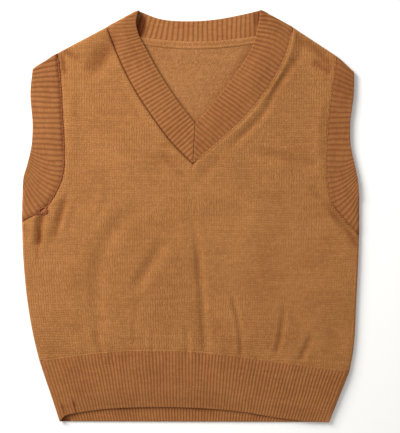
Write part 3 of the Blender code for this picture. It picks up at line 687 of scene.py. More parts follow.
# How many steps the panels' grids have along each of their sides.
FRONT_STEPS = namedtuple("Steps", "side armhole below_v columns")(86, 96, 42, 84)
BACK_STEPS = namedtuple("Steps", "side armhole columns neck")(56, 52, 52, 44)
WIDTH_AT = [(-200, 212), (-120, 224), (-60, 228.5), (-8, 230)]  # half the body's width, by height


def panel_uv(plan, sizes):
    """Wale and course number: wales run up the cloth, and narrow with the body below the underarm."""
    at, width = np.array(WIDTH_AT, float).T
    narrow = np.interp(plan[:, 1], at, width) / width[-1]
    u = (plan[:, 0] - CENTRE_X) / narrow / (sizes.wale_pitch / MM)
    return np.column_stack([u, plan[:, 1] / (sizes.course_pitch / MM)])


def panel_shell(name, halves, front, sizes, materials):
    """A panel's thin shell: its halves welded, lifted to its layer, and rounded at its cut edges."""
    plan, faces = weld(halves)
    half = WALL / 2 * rounded(seam_dip(plan, FRONT_SEAMS if front else BACK_SEAMS)[1] - SEAM_GAP)
    half = np.where(fold_at(plan)[0] < FOLD_REACH, WALL / 2, half)
    outer, inner = lift(plan, front, half, -half)
    painted_shade = painted_shade_at(plan, front)
    return shell(name, outer, inner, faces, panel_uv(plan, sizes)[faces], materials, painted_shade)


def both_halves(hem, steps):
    """The outer side and the foot of a panel's left half, and of its right half."""
    ways = (SIDE_LEFT, ARMHOLE_SEAM_LEFT, 1), (SIDE_RIGHT, ARMHOLE_SEAM_RIGHT, -1)
    return [half_lines(side, armhole, hem, steps, right_hand) for side, armhole, right_hand in ways]


def front_panel(sizes, materials):
    """The plain front, with its V and its armholes cut out."""
    left, right = both_halves(HEM_SEAM_FRONT, FRONT_STEPS)
    above_v = FRONT_STEPS.armhole - FRONT_STEPS.below_v
    below = len(left[0]) - above_v - len(FOLD_STEPS)
    v_point = np.array([V_SEAM.x, V_SEAM.y - 2 * SEAM_GAP])
    up = heights([left[0][: below + 1], right[0][: below + 1]])
    middle = along(np.array([left[1][-1], v_point]), up[:-1])
    halves = []
    for (outer, foot), seam, right_hand in ((left, NECK_SEAM_LEFT, 1), (right, NECK_SEAM_RIGHT, -1)):
        neck = smooth(seam)[::-1]
        up_neck = beside(neck, shares(neck, above_v, end=FOLD_REACH), -right_hand)
        inner = np.concatenate([middle, [v_point], up_neck[1:]])
        top = np.array([outer[-1], inner[-1]])
        halves.append((half_panel(outer, inner, foot, top, FRONT_STEPS.columns), right_hand < 0))
    return panel_shell("front_panel_knit", halves, True, sizes, materials)


def back_panel(sizes, materials):
    """The plain back, which the vest lies on; its inside shows in the neck."""
    sides = both_halves(HEM_SEAM_BACK, BACK_STEPS)
    up = heights([outer for outer, _ in sides])
    halves = []
    for (outer, foot), right_hand in zip(sides, (1, -1)):
        neck = to_middle(smooth(NECK_SEAM_BACK)[::right_hand])
        neck = beside(neck, shares(neck, BACK_STEPS.neck, FOLD_REACH), right_hand)
        neck[-1] = middle_point(smooth(NECK_SEAM_BACK), -2 * SEAM_GAP)
        top = np.concatenate([outer[-1:], neck])
        inner = along(np.array([foot[-1], neck[-1]]), up)
        halves.append((half_panel(outer, inner, foot, top, BACK_STEPS.columns), right_hand < 0))
    return panel_shell("back_panel_knit", halves, False, sizes, materials)


Stations = namedtuple("Stations", "seam edge front phase turn lean arch")


def stations(seam_line, edge_line, count, start, end, front, per=PER_RIB, lean=NO_LEAN, arch=NO_LEAN):
    """Stations of a stretch of band. Each has a point on the seam and one on the free edge.

    phase is the rib number, whole in a groove, and runs on by one rib round a quarter fold.
    turn is how far the cloth has turned up there: 1 on the fold line, 0 on the flat. lean
    and arch are what rib numbers gain at the free edge and half way to it.
    """
    reach = (FOLD_REACH if start else 0.0, FOLD_REACH if end else 0.0)
    at = [shares(line, per * count, *reach) for line in (seam_line, edge_line)]
    bend = 1 - np.arccos(1 - np.array(FOLD_STEPS[:-1])) / (np.pi / 2)
    before, after = bend if start else bend[:0], bend[::-1] if end else bend[:0]
    phase = np.concatenate([-before, np.linspace(0, count, per * count + 1), count + after])
    turn = np.concatenate([before, np.zeros(per * count + 1), after])
    bent = (np.interp(phase, *np.array(table).T) for table in (lean, arch))
    seam, edge = along(seam_line, at[0]), along(edge_line, at[1])
    return Stations(seam, edge, np.full(len(phase), front), phase, turn, *bent)


def follow(back, start, end):
    """The back layer's stations: near each fold their ribs lean as the front's do there."""
    lean = np.where(back.phase < back.phase.mean(), start[1], end[1])
    return back._replace(lean=back.turn * lean)


def join(*stretches):
    return Stations(*(np.concatenate(parts) for parts in zip(*stretches)))


def rib_numbers(st, t, plan, sizes, upright):
    """The rib number at each place of a band, whole in a groove; t is the share of its width.

    It sways a little with the place, so that no two ribs are alike. upright is the pitch of
    the back layer's ribs where they run straight up.
    """
    x, y = plan[..., 0], plan[..., 1]
    sway = np.sin(x / 23 + y / 31) + 0.7 * np.sin(x / 9 - y / 13) + 0.4 * np.sin(x / 57 + y / 5)
    sway = sizes.rib_sway * sway
    phase = st.phase[:, None] + st.lean[:, None] * t + st.arch[:, None] * 4 * t * (1 - t) + sway
    if not upright:
        return phase
    straight = (x - CENTRE_X) / upright / (1 + BACK_NECK_FAN * (1 - t) * (x < CENTRE_X)) + sway
    return np.where(st.front[:, None] | (st.turn[:, None] > 0), phase, straight)


def rib_shade(st, plan, body, edge_gap, groove, tone):
    """The shade painted into a band's colour: the layer's, the grooves', and a turned front layer's."""
    x, y = plan[..., 0], plan[..., 1]
    front = st.front[:, None]
    over, under = (painted_shade_at(plan.reshape(-1, 2), layer).reshape(x.shape) for layer in (True, False))
    between = groove * np.clip(1.7 * (0.68 - body), 0, 1) * smoothstep(edge_gap / 2.0)
    between *= 1 + 0.5 * np.sin(x / 13 - y / 29) * np.sin(x / 37 + y / 17)
    return 1 - (1 - np.where(front, over, under)) * (1 - between) * (1 - np.where(front, tone, 0.0))


def band_shell(
    name, st, sizes, materials, cross, fade, groove, tone, wrap=None, upright=None, taper=False
):
    """A ribbed band's thin shell through its stations.

    The ribs are a power of |sin| of the rib number, wide and round with narrow grooves. They
    stand on the outer face of the front layer, and on the upper, inner face of the back
    one. cross is the number of rows across the band. fade is how far the ribs rise, and the
    groove shade how much shade is painted in the hollow between two, at each station or
    everywhere; the layer shade paints shade over a whole front layer that turns from the light.
    wrap is the last rib number of a closed ring. taper makes the shade painted in the grooves
    less dark towards the free edge.
    """
    width = np.linalg.norm(st.edge - st.seam, axis=1)[:, None]
    near = np.array(EDGE_STEPS) * np.minimum(1, width / (4 * EDGE_STEPS[-1]))
    inside = near[:, -1:] + np.linspace(0, 1, cross + 1)[1:-1] * (width - 2 * near[:, -1:])
    t = np.concatenate([near, inside, width - near[:, ::-1]], axis=1) / width
    plan = st.seam[:, None] * (1 - t[..., None]) + st.edge[:, None] * t[..., None]
    phase = rib_numbers(st, t, plan, sizes, upright)
    edge_gap = np.minimum(t, 1 - t) * width
    rise = (0.6 + 0.4 * smoothstep(edge_gap / 3.0)) * np.reshape(fade, (-1, 1))
    front, turn = st.front[:, None], st.turn[:, None]
    body = np.abs(np.sin(np.pi * phase)) ** np.where(front, *RIB_POWER)
    relief = rise * (body - RIB_FOOT) * sizes.rib_height / MM
    half = WALL / 2 * rounded(edge_gap)
    outer, inner = lift(
        plan,
        np.broadcast_to(front, t.shape),
        half + relief * np.where(front, 1.0, turn),
        -half - relief * np.where(front, 0.0, 1.0),
    )
    uv = np.stack([phase, t * width / (sizes.course_pitch / MM)], axis=-1)
    if wrap:
        uv = np.concatenate([uv, uv[:1] + [wrap, 0]])
    groove = np.reshape(groove, (-1, 1)) * (1.5 - t if taper else 1.0)
    painted_shade = rib_shade(st, plan, body, edge_gap, groove, tone)
    faces = grid_faces(*t.shape, closed=bool(wrap))
    return shell(name, outer, inner, faces, cells(uv), materials, painted_shade)


def neck_side(seam, edge, shift, ribs, lean, arch=NO_LEAN):
    """Stations of one front side of the neckband, from the shoulder fold to the point of the V."""
    seam_line = smooth(seam[:-1] + [Place(V_SEAM.x + shift, V_SEAM.y)])
    edge_line = smooth(edge[:-1] + [Place(V_EDGE.x + shift, V_EDGE.y)])
    mitre = np.array([[V_EDGE.x + shift, V_EDGE.y], [V_SEAM.x + shift, V_SEAM.y]])
    split = int(MITRE_SHARE * (len(seam_line) - 1))
    upper = stations(seam_line[: split + 1], edge_line, ribs, True, False, True, lean=lean, arch=arch)
    low = np.arange(1, PER_RIB * MITRE_RIBS) / (PER_RIB * MITRE_RIBS)
    lower = Stations(
        along(seam_line[split:], low), along(mitre, low), np.ones(len(low), bool),
        ribs + MITRE_RIBS * low, *np.zeros((3, len(low))),
    )
    return join(upper, lower)


def neckband(sizes, materials):
    """One strip of rib: up the left of the V, over the shoulder, round the back neck and down again."""
    left = neck_side(NECK_SEAM_LEFT, NECK_EDGE_LEFT, -SPLIT / 2, NECK_RIBS_LEFT, NECK_LEAN_LEFT)
    right = neck_side(
        NECK_SEAM_RIGHT, NECK_EDGE_RIGHT, SPLIT / 2, NECK_RIBS_RIGHT, NECK_LEAN_RIGHT, NECK_ARCH_RIGHT
    )
    back = stations(smooth(NECK_SEAM_BACK), smooth(NECK_EDGE_BACK), NECK_RIBS_BACK, True, True, False)
    back = follow(back, (0, -NECK_LEAN_LEFT[0][1]), NECK_LEAN_RIGHT[0])
    up_left = Stations(*(part[::-1] for part in left))
    # The rib numbers run on from the left side over the back to the right side.
    strip = join(
        up_left._replace(phase=-up_left.phase - 1, lean=-up_left.lean),
        Stations(*(part[1:-1] for part in back))._replace(phase=back.phase[1:-1] + 1),
        right._replace(phase=right.phase + NECK_RIBS_BACK + 3),
    )
    on_left = strip.seam[:, 0] < V_SEAM.x
    fade = np.where(strip.front, np.where(on_left, 0.85, 0.8), 0.45)
    # The grooves' painted shade, and shade painted over the right side of the front.
    groove = np.where(strip.front, np.where(on_left, 0.42, 0.52), 0.12)
    tone = np.where(on_left, 0.0, 0.14)[:, None]
    return band_shell(
        "neckband_ribs", strip, sizes, materials, BAND_ROWS, fade, groove, tone, upright=BACK_NECK_PITCH
    )


def armhole_band(hole, sizes, materials):
    """A ring of rib round an armhole: down the front layer to the underarm fold, and up the back.

    The shade painted over the front layer holds near the shoulder and fades below it.
    """
    lines = smooth(hole.seam), smooth(hole.edge)
    down = stations(*lines, ARMHOLE_RIBS, True, True, True, lean=hole.lean)
    back = stations(*lines, ARMHOLE_RIBS, True, True, False, per=PER_RIB // 2)
    back = follow(back, hole.lean[0], hole.lean[-1])
    up = Stations(*(part[::-1][1:-1] for part in back))
    wrap = 2 * ARMHOLE_RIBS + 4
    ring = join(down._replace(phase=down.phase + 1), up._replace(phase=wrap - 1 - up.phase))
    tone = hole.tone * (0.35 + 0.65 * smoothstep((ring.seam[:, 1:] - 120) / 70))
    name = f"armhole_ribs_{hole.side}"
    return band_shell(name, ring, sizes, materials, BAND_ROWS, hole.fade, hole.groove, tone, wrap=wrap)


def hem_band(name, seam, edge, front, cross, sizes, materials):
    """The ribbed hem of one layer, from one side fold to the other; its ribs flatten at the folds."""
    st = stations(smooth(seam), smooth(edge), HEM_RIBS, True, True, front)
    fade = 0.15 + 0.3 * smoothstep((st.phase + 1) / 6) * smoothstep((HEM_RIBS + 1 - st.phase) / 4)
    # The hem's grooves and its front layer get painted shade.
    return band_shell(name, st, sizes, materials, cross, fade, groove=0.42, tone=0.05, taper=front)


TAPE_TOP, TAPE_FOOT = -2.2, 8.5  # how far below the back neck seam the linking tape starts and ends
TAPE_THICK = 0.9
TAPE_GAPS = 0.1, 0.08  # how far its two faces stand off the knit at its edges
TAPE_STITCH = 2.9  # pitch of the stitches along it


def linking_tape(materials):
    """The narrow strip that covers the back neck seam inside.

    Its profile, carried along the seam, is an arch with two ridges that swell once a
    stitch. Shade is painted in a dashed line between the ridges, and a shadow along its foot.
    """
    seam = smooth(NECK_SEAM_BACK)
    at = np.linspace(0.05, 0.95, 700)
    t = np.linspace(0, 1, 17)
    top, foot = beside(seam, at, 1, TAPE_TOP), beside(seam, at, 1, TAPE_FOOT)
    plan = top[:, None] * (1 - t[:, None]) + foot[:, None] * t[:, None]
    number = (at * walked(seam)[-1])[:, None] / TAPE_STITCH
    stitch = np.abs(np.sin(np.pi * number))
    ridges = bell((t - 0.2) / 0.13) + bell((t - 0.78) / 0.1)
    arch = (0.35 + 0.65 * ridges * (0.6 + 0.4 * stitch)) * np.sin(np.pi * t) ** 0.3
    upper = lift(plan, False, 0.0, -WALL / 2 - TAPE_GAPS[0] - TAPE_THICK * arch)[1]
    lower = lift(plan, False, 0.0, -WALL / 2 - TAPE_GAPS[1])[1]
    uv = np.stack(np.broadcast_arrays(number, t * 3), axis=-1)
    painted_shade = 0.45 * bell((t - 0.5) / 0.11) * (1 - 0.8 * stitch) + 0.4 * bell((t - 1) / 0.08)
    faces = grid_faces(*plan.shape[:2])
    return shell("neck_linking_tape", upper, lower, faces, cells(uv), materials, painted_shade)


CHAIN_SIDES = 8  # of the tube of a stitch chain, and its points along one stitch


def stitch_chain(name, line, radius, pitch, sink, materials, uneven=1.0):
    """Linking stitches along a seam: a tube whose radius and sideways place swell once a stitch.

    It lies in the seam, sink below the cloth's face. radius is given at each end of the
    line, and uneven is how far the stitches stand apart and how round the tube is.
    """
    count = int(walked(line)[-1] / pitch)
    s = np.linspace(0, count, count * CHAIN_SIDES + 1)
    path = along(line, s / count)
    plump = np.interp(s, [0, count], radius) * (1 - 0.45 * uneven * (1 - np.abs(np.sin(np.pi * s))))
    plump *= 1 + 0.3 * uneven * np.sin(1.7 * s) * np.sin(0.61 * s)
    plump *= 0.25 + 0.75 * smoothstep(s / 1.5) * smoothstep((count - s) / 1.5)
    way = np.gradient(path, axis=0)
    side = np.stack([way[:, 1], -way[:, 0]], axis=1) / np.linalg.norm(way, axis=1)[:, None]
    path = path + side * (uneven * (0.3 * np.sin(2 * np.pi * s) + 0.12 * np.sin(2.3 * s)))[:, None]
    centre = lift(path, True, WALL / 2 - sink, 0.0)[0]
    turn = np.linspace(0, 2 * np.pi, CHAIN_SIDES, endpoint=False)
    across = np.column_stack([side, np.zeros(len(side))])[:, None] * np.cos(turn)[:, None]
    upward = np.array([0, 0, 0.4 + 0.6 * uneven]) * np.sin(turn)[:, None]
    rings = centre[:, None] + plump[:, None, None] * (across + upward)
    index = np.arange(len(rings) * CHAIN_SIDES).reshape(-1, CHAIN_SIDES)
    sides = cells(np.column_stack([index, index[:, :1]]))[:, ::-1]
    cap = np.array([[0, 1, 2, 3], [0, 3, 4, 7], [4, 5, 6, 7]])  # an octagon as three quads
    quads = np.concatenate([sides, cap, index[-1, 0] + cap[:, ::-1]])
    uv = np.stack([np.full(quads.shape, 0.5), quads // CHAIN_SIDES / CHAIN_SIDES], axis=-1)
    return piece_from(name, rings.reshape(-1, 3), quads, uv, np.zeros(len(quads)), materials)


def linear(code):
    """An sRGB hex colour as linear red, green and blue."""
    parts = np.array([int(code[i: i + 2], 16) for i in (1, 3, 5)]) / 255
    return tuple(np.where(parts <= 0.04045, parts / 12.92, ((parts + 0.055) / 1.055) ** 2.4))


def add(tree, kind, sockets=(), out=0, **settings):
    """Adds a node and returns one of its outputs. sockets are values, or the outputs that feed it."""
    made = tree.nodes.new("ShaderNode" + kind)
    for name, value in settings.items():
        setattr(made, name, value)
    for socket, value in sockets.items() if isinstance(sockets, dict) else enumerate(sockets):
        if isinstance(value, bpy.types.NodeSocket):
            tree.links.new(value, made.inputs[socket])
        else:
            made.inputs[socket].default_value = value
    return made.outputs[out]


def matt_material(name, roughness, sheen, tint):
    """An empty node material with a matt, slightly fuzzy surface, and its shader."""
    material = bpy.data.materials.new(name)
    material.use_nodes = True
    shader = material.node_tree.nodes["Principled BSDF"]
    shader.inputs["Roughness"].default_value = roughness
    shader.inputs["Specular IOR Level"].default_value = 0.2
    shader.inputs["Sheen Weight"].default_value = sheen
    shader.inputs["Sheen Roughness"].default_value = 0.6
    shader.inputs["Sheen Tint"].default_value = (*tint, 1.0)
    return material, shader


def calc(tree, operation, *values):
    """The result of one sum."""
    return add(tree, "Math", values, operation=operation)


def noise(tree, place, scale, detail=2.0, roughness=0.5):
    """A cloudy value about 0.5, that changes so many times a metre."""
    sockets = {"Vector": place, "Scale": scale, "Detail": detail, "Roughness": roughness}
    return add(tree, "TexNoise", sockets)


def spread(tree, value, low, high, at_low=0.0, at_high=1.0):
    """A value that goes from at_low to at_high while the given one goes from low to high."""
    return add(tree, "MapRange", (value, low, high, at_low, at_high))


def blend(tree, share, base, other, kind="MIX"):
    """Two colours mixed: share is how far the other one takes over."""
    sockets = {0: share, 6: base, 7: other}
    return add(tree, "Mix", sockets, out=2, data_type="RGBA", blend_type=kind)


def tinted(tree, share, colour, tint):
    """A colour, multiplied by a tint as far as share says."""
    return blend(tree, share, colour, blend(tree, 1.0, colour, (*tint, 1.0), "MULTIPLY"))


def each_stitch(tree, wale, course):
    """A value of its own for every stitch, from 0 to 1."""
    whole = [calc(tree, "FLOOR", number) for number in (wale, course)]
    return add(tree, "TexWhiteNoise", {"Vector": add(tree, "CombineXYZ", whole)})


def heather(tree, place, course, own, colours):
    """Yarn spun from fibres of several shades: streaks, soft patches, grains and stitches apart."""
    streaks, patches = noise(tree, course, 1.0, 3.0, 0.6), noise(tree, place, 20.0)
    grains = noise(tree, place, 600.0, 2.0, 0.6)
    mixed = calc(tree, "MULTIPLY_ADD", grains, 1.1, calc(tree, "ADD", streaks, patches))
    mixed = calc(tree, "MULTIPLY_ADD", own, 0.45, mixed)
    ramp = add(tree, "ValToRGB", (spread(tree, mixed, 1.35, 2.2),)).node
    ramp.color_ramp.elements.new(0.5)
    for stop, colour in zip(ramp.color_ramp.elements, colours):
        stop.color = (*colour, 1.0)
    return ramp.outputs[0]


def yarn_material(name, roughness, light):
    """An empty yarn material, its shader, the place, and its UV map with wale and course numbers."""
    material, shader = matt_material(name, roughness, 0.12, light)
    tree = material.node_tree
    uv = add(tree, "UVMap", uv_map="stitches")
    apart = add(tree, "SeparateXYZ", (uv,)).node
    return material, shader, add(tree, "TexCoord", out=3), uv, apart.outputs[0], apart.outputs[1]


def spin(material, shader, place, uv, stitch, colours, groove, relief, low, high, depth):
    """Gives a yarn material its colour and its relief, and returns it.

    stitch is the stitch's own value. The groove tint paints shade from the height high down to
    low, the piece's attribute of painted shade darkens it again, and depth is in metres.
    """
    tree = material.node_tree
    streak = add(tree, "VectorMath", (uv, STREAK), operation="MULTIPLY")
    colour = heather(tree, place, streak, stitch, colours)
    colour = tinted(tree, spread(tree, relief, low, high, 1.0, 0.0), colour, groove)
    # The piece's attribute of painted shade darkens the colour again.
    colour = tinted(tree, add(tree, "Attribute", out=2, attribute_name="painted_shade"), colour, SHADE_TINT)
    bump = add(tree, "Bump", {"Height": relief, "Distance": depth, "Strength": 1.0})
    tree.links.new(colour, shader.inputs["Base Color"])
    tree.links.new(bump, shader.inputs["Normal"])
    return material


STREAK = (0.045, 0.8, 1.0)  # how fast the yarn's streaks change across wales, and across courses
SHADE_TINT = (0.40, 0.22, 0.12)  # a deep red-brown, that painted shade turns the cloth towards where little light comes


def knit_material(name, colours, groove, split, slant, depth, rows, wander):
    """Knitted yarn, worked out from wale and course numbers in the piece's own UV map.

    The height is a wale's |sin|, plus its two legs' |sin|, plus an arch on each stitch whose
    foot slants down to the wale's middle. The groove tint is the shade painted in the hollow
    between two wales, split how deep the line between the two legs is, and depth is in metres.
    rows is how far the arches take over from the wales, which drifts between two values over
    the cloth, and wander how far the wales and courses stray.
    """
    material, shader, place, uv, wale, course = yarn_material(name, 0.92, colours[2])
    tree = material.node_tree
    wale = calc(tree, "MULTIPLY_ADD", noise(tree, place, 110.0, 4.0, 0.75), wander, wale)
    course = calc(tree, "MULTIPLY_ADD", noise(tree, place, 75.0, 3.0, 0.7), wander, course)
    across = calc(tree, "FRACT", wale)
    body = calc(tree, "POWER", calc(tree, "SINE", calc(tree, "MULTIPLY", across, np.pi)), 0.5)
    legs = calc(tree, "ABSOLUTE", calc(tree, "SINE", calc(tree, "MULTIPLY", across, 2 * np.pi)))
    middle = calc(tree, "ABSOLUTE", calc(tree, "SUBTRACT", across, 0.5))
    foot = calc(tree, "MULTIPLY_ADD", middle, -slant, course)
    arch = calc(tree, "SINE", calc(tree, "MULTIPLY", calc(tree, "FRACT", foot), np.pi))
    height = calc(tree, "MULTIPLY_ADD", legs, split, body)
    rows = spread(tree, noise(tree, place, 14.0, 1.0), 0.36, 0.64, *rows)
    height = calc(tree, "MULTIPLY", height, calc(tree, "MULTIPLY_ADD", rows, -0.7, 1.0))
    height = calc(tree, "MULTIPLY_ADD", arch, rows, height)
    fuzzy = calc(tree, "MULTIPLY_ADD", noise(tree, place, 900.0), 0.5, height)
    stitch = each_stitch(tree, wale, foot)
    return spin(material, shader, place, uv, stitch, colours, groove, fuzzy, 0.3, 1.5 + split, depth)


def purl_material(name, colours, groove, depth):
    """The inside of plain knit: rows of small loop heads, alternate rows half a stitch across."""
    material, shader, place, uv, wale, course = yarn_material(name, 0.94, colours[2])
    tree = material.node_tree
    rows = calc(tree, "SINE", calc(tree, "MULTIPLY", course, 2 * np.pi))
    odd = calc(tree, "MULTIPLY_ADD", course, np.pi, calc(tree, "MULTIPLY", wale, 2 * np.pi))
    heads = calc(tree, "MULTIPLY", rows, calc(tree, "SINE", odd))
    height = calc(tree, "MULTIPLY", heads, 0.4)
    fuzzy = calc(tree, "MULTIPLY_ADD", noise(tree, place, 420.0, 3.0), 4.2, height)
    stitch = each_stitch(tree, wale, course)
    # The groove tint paints shade between the loop heads.
    return spin(material, shader, place, uv, stitch, colours, groove, fuzzy, 0.4, 3.2, depth)


def shades(colour, apart):
    """A dark, a middle and a light shade of a yarn: the darker is redder, the lighter yellower."""
    dark, light = (1 - apart) * np.array([1.0, 0.95, 0.88]), (1 + apart) * np.array([1.0, 1.03, 1.08])
    return [tuple(np.array(colour) * share) for share in (dark, 1.0, light)]


def stockinette(colours):
    """Wool-blend stockinette: matt, with fine upright wales of slanting stitches."""
    yarn, painted_shade = shades(colours.panel_yarn, 0.15), tuple(colours.painted_shade)
    return knit_material("wool_blend_stockinette", yarn, painted_shade, 0.3, 0.9, 0.00045, (0.2, 0.8), 2.3)


def rib_knit(colours):
    """Wool-blend 1x1 rib: the same yarn packed tighter, so it looks a little darker and redder."""
    yarn, painted_shade = shades(colours.rib_yarn, 0.12), tuple(colours.painted_rib_groove_shade)
    return knit_material("wool_blend_rib", yarn, painted_shade, 0.2, 0.7, 0.0003, (0.1, 0.3), 0.4)


def reverse_stockinette(colours, name="wool_blend_purl_side", yarn=None):
    """The purl side of the same knit: paler and grainy, with no wales to see."""
    return purl_material(name, shades(yarn or colours.inside_yarn, 0.15), tuple(colours.painted_shade), 0.0002)


def linking_yarn(colours):
    """The thinner, redder yarn that links the bands to the panels."""
    material, shader = matt_material("linking_yarn", 0.85, 0.1, colours.link_yarn)
    tree = material.node_tree
    dark, _, light = shades(colours.link_yarn, 0.3)
    mixed = blend(tree, noise(tree, add(tree, "TexCoord", out=3), 400.0), (*dark, 1), (*light, 1))
    tree.links.new(mixed, shader.inputs["Base Color"])
    return material


def finish_piece(piece, nodes=()):
    """The piece rides with the vest and stands for its solids, which are hidden."""
    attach(piece, "root")
    if nodes:
        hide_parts(*nodes)
    return piece


def amount(name, description, default, unit="NONE"):
    """A number that the user can set."""
    return bpy.props.FloatProperty(name=name, description=description, default=default, unit=unit)


def tint(name, description, code):
    """A colour that the user can set."""
    return bpy.props.FloatVectorProperty(
        name=name, description=description, subtype="COLOR", default=linear(code)
    )


class VestSizes(bpy.types.PropertyGroup):
    """The sizes of the knit's own detail."""

    rib_height: amount("Rib height", "How far a rib stands above its groove", 0.0011, "LENGTH")
    rib_sway: amount("Rib sway", "How far ribs wander sideways, as a share of one rib", 0.09)
    # The real knit's wales are nearer 2 mm; these are drawn coarser, so that they show.
    wale_pitch: amount("Wale pitch", "Width of one column of stitches", 0.0034, "LENGTH")
    course_pitch: amount("Course pitch", "Height of one row of stitches", 0.0033, "LENGTH")


class VestColours(bpy.types.PropertyGroup):
    """The yarns' colours."""

    panel_yarn: tint("Panel yarn", "Plain front and back", "#a97341")
    rib_yarn: tint("Rib yarn", "Ribbed bands", "#a36c3e")
    inside_yarn: tint("Inside", "Purl side of the panels", "#a57143")
    link_yarn: tint("Linking yarn", "Stitches along the seams", "#84492c")
    # The two tints below are painted shade, in the hollows between wales and between ribs.
    painted_shade: tint("Hollow tint", "Tint between two wales", "#d6cabe")
    painted_rib_groove_shade: tint("Rib groove tint", "Tint between two ribs", "#c8b5a5")
    floor: tint("Floor", "Paper that the vest lies on", "#fcfcfb")


class VestStage(bpy.types.PropertyGroup):
    """Camera and light."""

    lens: amount("Lens", "Focal length in millimetres", 85.0)
    view_height: amount("View height", "How much of the floor the view is long", 0.5895, "LENGTH")
    key: amount("Key", "Power of the large soft light", 45.6, "POWER")
    fill: amount("Fill", "Strength of the even light all round", 0.53)


class Step:
    """What the operators share: each makes its pieces from the scene's settings."""

    def execute(self, context):
        scene = context.scene
        self.make(scene, scene.vest_sizes, scene.vest_colours)
        return {"FINISHED"}


class VEST_OT_back_panel(Step, bpy.types.Operator):
    """Makes the back panel and the linking tape inside its neck"""

    bl_idname = "vest.back_panel"
    bl_label = "Back panel"

    def make(self, scene, sizes, colours):
        outside, inside = stockinette(colours), reverse_stockinette(colours)
        back = finish_piece(back_panel(sizes, [outside, inside]), ["back"])
        bright = tuple(1.1 * value for value in colours.inside_yarn)
        tape = linking_tape([reverse_stockinette(colours, "linking_tape_yarn", bright)])
        finish_piece(tape)


class VEST_OT_front_panel(Step, bpy.types.Operator):
    """Makes the front panel and the stitches along its neck and hem seams"""

    bl_idname = "vest.front_panel"
    bl_label = "Front panel"

    def make(self, scene, sizes, colours):
        knit = stockinette(colours)
        front = front_panel(sizes, [knit, reverse_stockinette(colours)])
        finish_piece(front, ["front"])
        # The chains end a few millimetres short of the ends of their seams.
        neck_line, hem_line = smooth(NECK_SEAM_RIGHT)[6:-6], smooth(HEM_SEAM_FRONT)[4:-4]
        neck = stitch_chain("neck_seam_stitches", neck_line, (1.9, 1.7), 3.4, 0.3, [knit], 0.1)
        hem = stitch_chain("hem_seam_stitches", hem_line, (1.3, 1.3), 2.9, 0.3, [knit], 0.3)
        for chain in (neck, hem):
            finish_piece(chain)


class VEST_OT_neckband(Step, bpy.types.Operator):
    """Makes the ribbed neckband"""

    bl_idname = "vest.neckband"
    bl_label = "Neckband"

    def make(self, scene, sizes, colours):
        band = finish_piece(neckband(sizes, [rib_knit(colours)]), ["neckband"])


class VEST_OT_armhole_bands(Step, bpy.types.Operator):
    """Makes both ribbed armhole bands and the linking stitches along their seams"""

    bl_idname = "vest.armhole_bands"
    bl_label = "Armhole bands"

    def make(self, scene, sizes, colours):
        rib, link = rib_knit(colours), linking_yarn(colours)
        for hole, thread in zip(ARMHOLES, (link, rib)):
            band = armhole_band(hole, sizes, [rib])
            finish_piece(band, [f"armhole_band_{hole.side}"])
            name, line = f"armhole_stitches_{hole.side}", smooth(hole.sewn)[6:-3]
            chain = stitch_chain(name, line, hole.plump, 4.2, 0.0, [thread])
            finish_piece(chain)


class VEST_OT_hem_bands(Step, bpy.types.Operator):
    """Makes the ribbed hem of the front and of the back"""

    bl_idname = "vest.hem_bands"
    bl_label = "Hem ribs"

    def make(self, scene, sizes, colours):
        rib = [rib_knit(colours)]
        front = hem_band("hem_ribs_front", HEM_SEAM_FRONT, HEM_EDGE_FRONT, True, 13, sizes, rib)
        back = hem_band("hem_ribs_back", HEM_SEAM_BACK, HEM_EDGE_BACK, False, 9, sizes, rib)
        finish_piece(front, ["hem_rib_front"])
        finish_piece(back, ["hem_rib_back"])


FLOOR_HALF, FLOOR_AT = 4.0, -0.0004  # half its side, and its height, a little below the cloth
SOFTBOX_AT, SOFTBOX_SIDE = (-1.15, 0.95, 1.0), 1.1  # it faces the middle of the vest
VIEW_CENTRE = Place(13.0, -0.7)  # the middle of the view, on the tables' own axes
CLOTH_TOP = 7.0  # height of the cloth's upper face, where the view has its full size


def paper_floor(scene, colour):
    """A sheet of matt paper under everything."""
    mesh = bpy.data.meshes.new("paper_floor")
    ways = (-1, -1), (1, -1), (1, 1), (-1, 1)
    mesh.from_pydata([(x * FLOOR_HALF, y * FLOOR_HALF, FLOOR_AT) for x, y in ways], [], [(0, 1, 2, 3)])
    material, shader = matt_material("matt_paper", 0.9, 0.0, colour)
    tree = material.node_tree
    tooth = noise(tree, add(tree, "TexCoord", out=3), 300.0)
    bump = add(tree, "Bump", {"Height": tooth, "Distance": 0.00005})
    tree.links.new(bump, shader.inputs["Normal"])
    shader.inputs["Base Color"].default_value = (*colour, 1.0)
    mesh.materials.append(material)
    floor = bpy.data.objects.new("paper_floor", mesh)
    scene.collection.objects.link(floor)


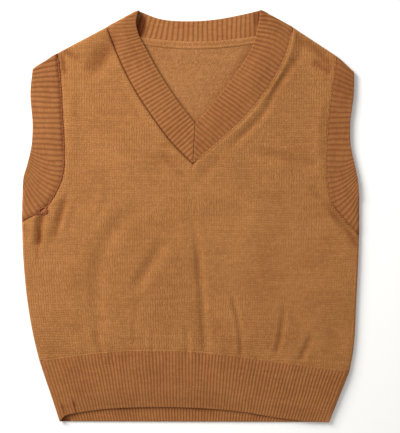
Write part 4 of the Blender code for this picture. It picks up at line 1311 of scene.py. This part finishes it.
def studio_light(scene, stage):
    """Even light all round, and one large soft light from the upper left."""
    world = bpy.data.worlds.new("studio")
    world.use_nodes = True
    background = world.node_tree.nodes["Background"]
    background.inputs[0].default_value = (1.0, 0.99, 0.975, 1.0)
    background.inputs[1].default_value = stage.fill
    scene.world = world
    scene.view_settings.view_transform = "Standard"
    lamp = bpy.data.lights.new("softbox", "AREA")
    lamp.shape, lamp.size, lamp.size_y = "RECTANGLE", SOFTBOX_SIDE, SOFTBOX_SIDE
    lamp.energy = stage.key
    lamp.color = (1.0, 0.985, 0.96)
    softbox = bpy.data.objects.new("softbox", lamp)
    softbox.location = SOFTBOX_AT
    softbox.rotation_euler = (-softbox.location).to_track_quat("-Z", "Y").to_euler()
    scene.collection.objects.link(softbox)


def overhead_camera(scene, stage):
    """A camera that looks straight down at the vest."""
    view = bpy.data.cameras.new("camera")
    view.lens = stage.lens
    view.clip_end = 20.0
    camera = bpy.data.objects.new("camera", view)
    away = stage.view_height * stage.lens / view.sensor_width
    camera.location = (VIEW_CENTRE.x * MM, (VIEW_CENTRE.y + shift_y()) * MM, away + CLOTH_TOP * MM)
    scene.collection.objects.link(camera)
    scene.camera = camera


class VEST_OT_stage(Step, bpy.types.Operator):
    """Makes the floor, the soft light and the camera"""

    bl_idname = "vest.stage"
    bl_label = "Stage"

    def make(self, scene, sizes, colours):
        paper_floor(scene, colours.floor)
        studio_light(scene, scene.vest_stage)
        overhead_camera(scene, scene.vest_stage)


class VEST_PT_panel(bpy.types.Panel):
    """Lists the vest's pieces and their settings"""

    bl_idname = "VEST_PT_panel"
    bl_label = "Sweater vest"
    bl_space_type = "VIEW_3D"
    bl_region_type = "UI"
    bl_category = "Vest"

    def draw(self, context):
        for step in STEPS:
            self.layout.operator(step.bl_idname)
        for group in (context.scene.vest_sizes, context.scene.vest_colours, context.scene.vest_stage):
            box = self.layout.box()
            for name in group.__annotations__:
                box.prop(group, name)


STEPS = (
    VEST_OT_back_panel,
    VEST_OT_front_panel,
    VEST_OT_neckband,
    VEST_OT_armhole_bands,
    VEST_OT_hem_bands,
    VEST_OT_stage,
)
GROUPS = {"vest_sizes": VestSizes, "vest_colours": VestColours, "vest_stage": VestStage}


def register():
    for kind in (*GROUPS.values(), *STEPS, VEST_PT_panel):
        bpy.utils.register_class(kind)
    for name, kind in GROUPS.items():
        setattr(bpy.types.Scene, name, bpy.props.PointerProperty(type=kind))


def unregister():
    for name in GROUPS:
        delattr(bpy.types.Scene, name)
    for kind in (VEST_PT_panel, *reversed(STEPS), *GROUPS.values()):
        bpy.utils.unregister_class(kind)


def main():
    register()
    for step in STEPS:
        group, name = step.bl_idname.split(".")
        getattr(getattr(bpy.ops, group), name)()


if __name__ == "__main__":
    main()
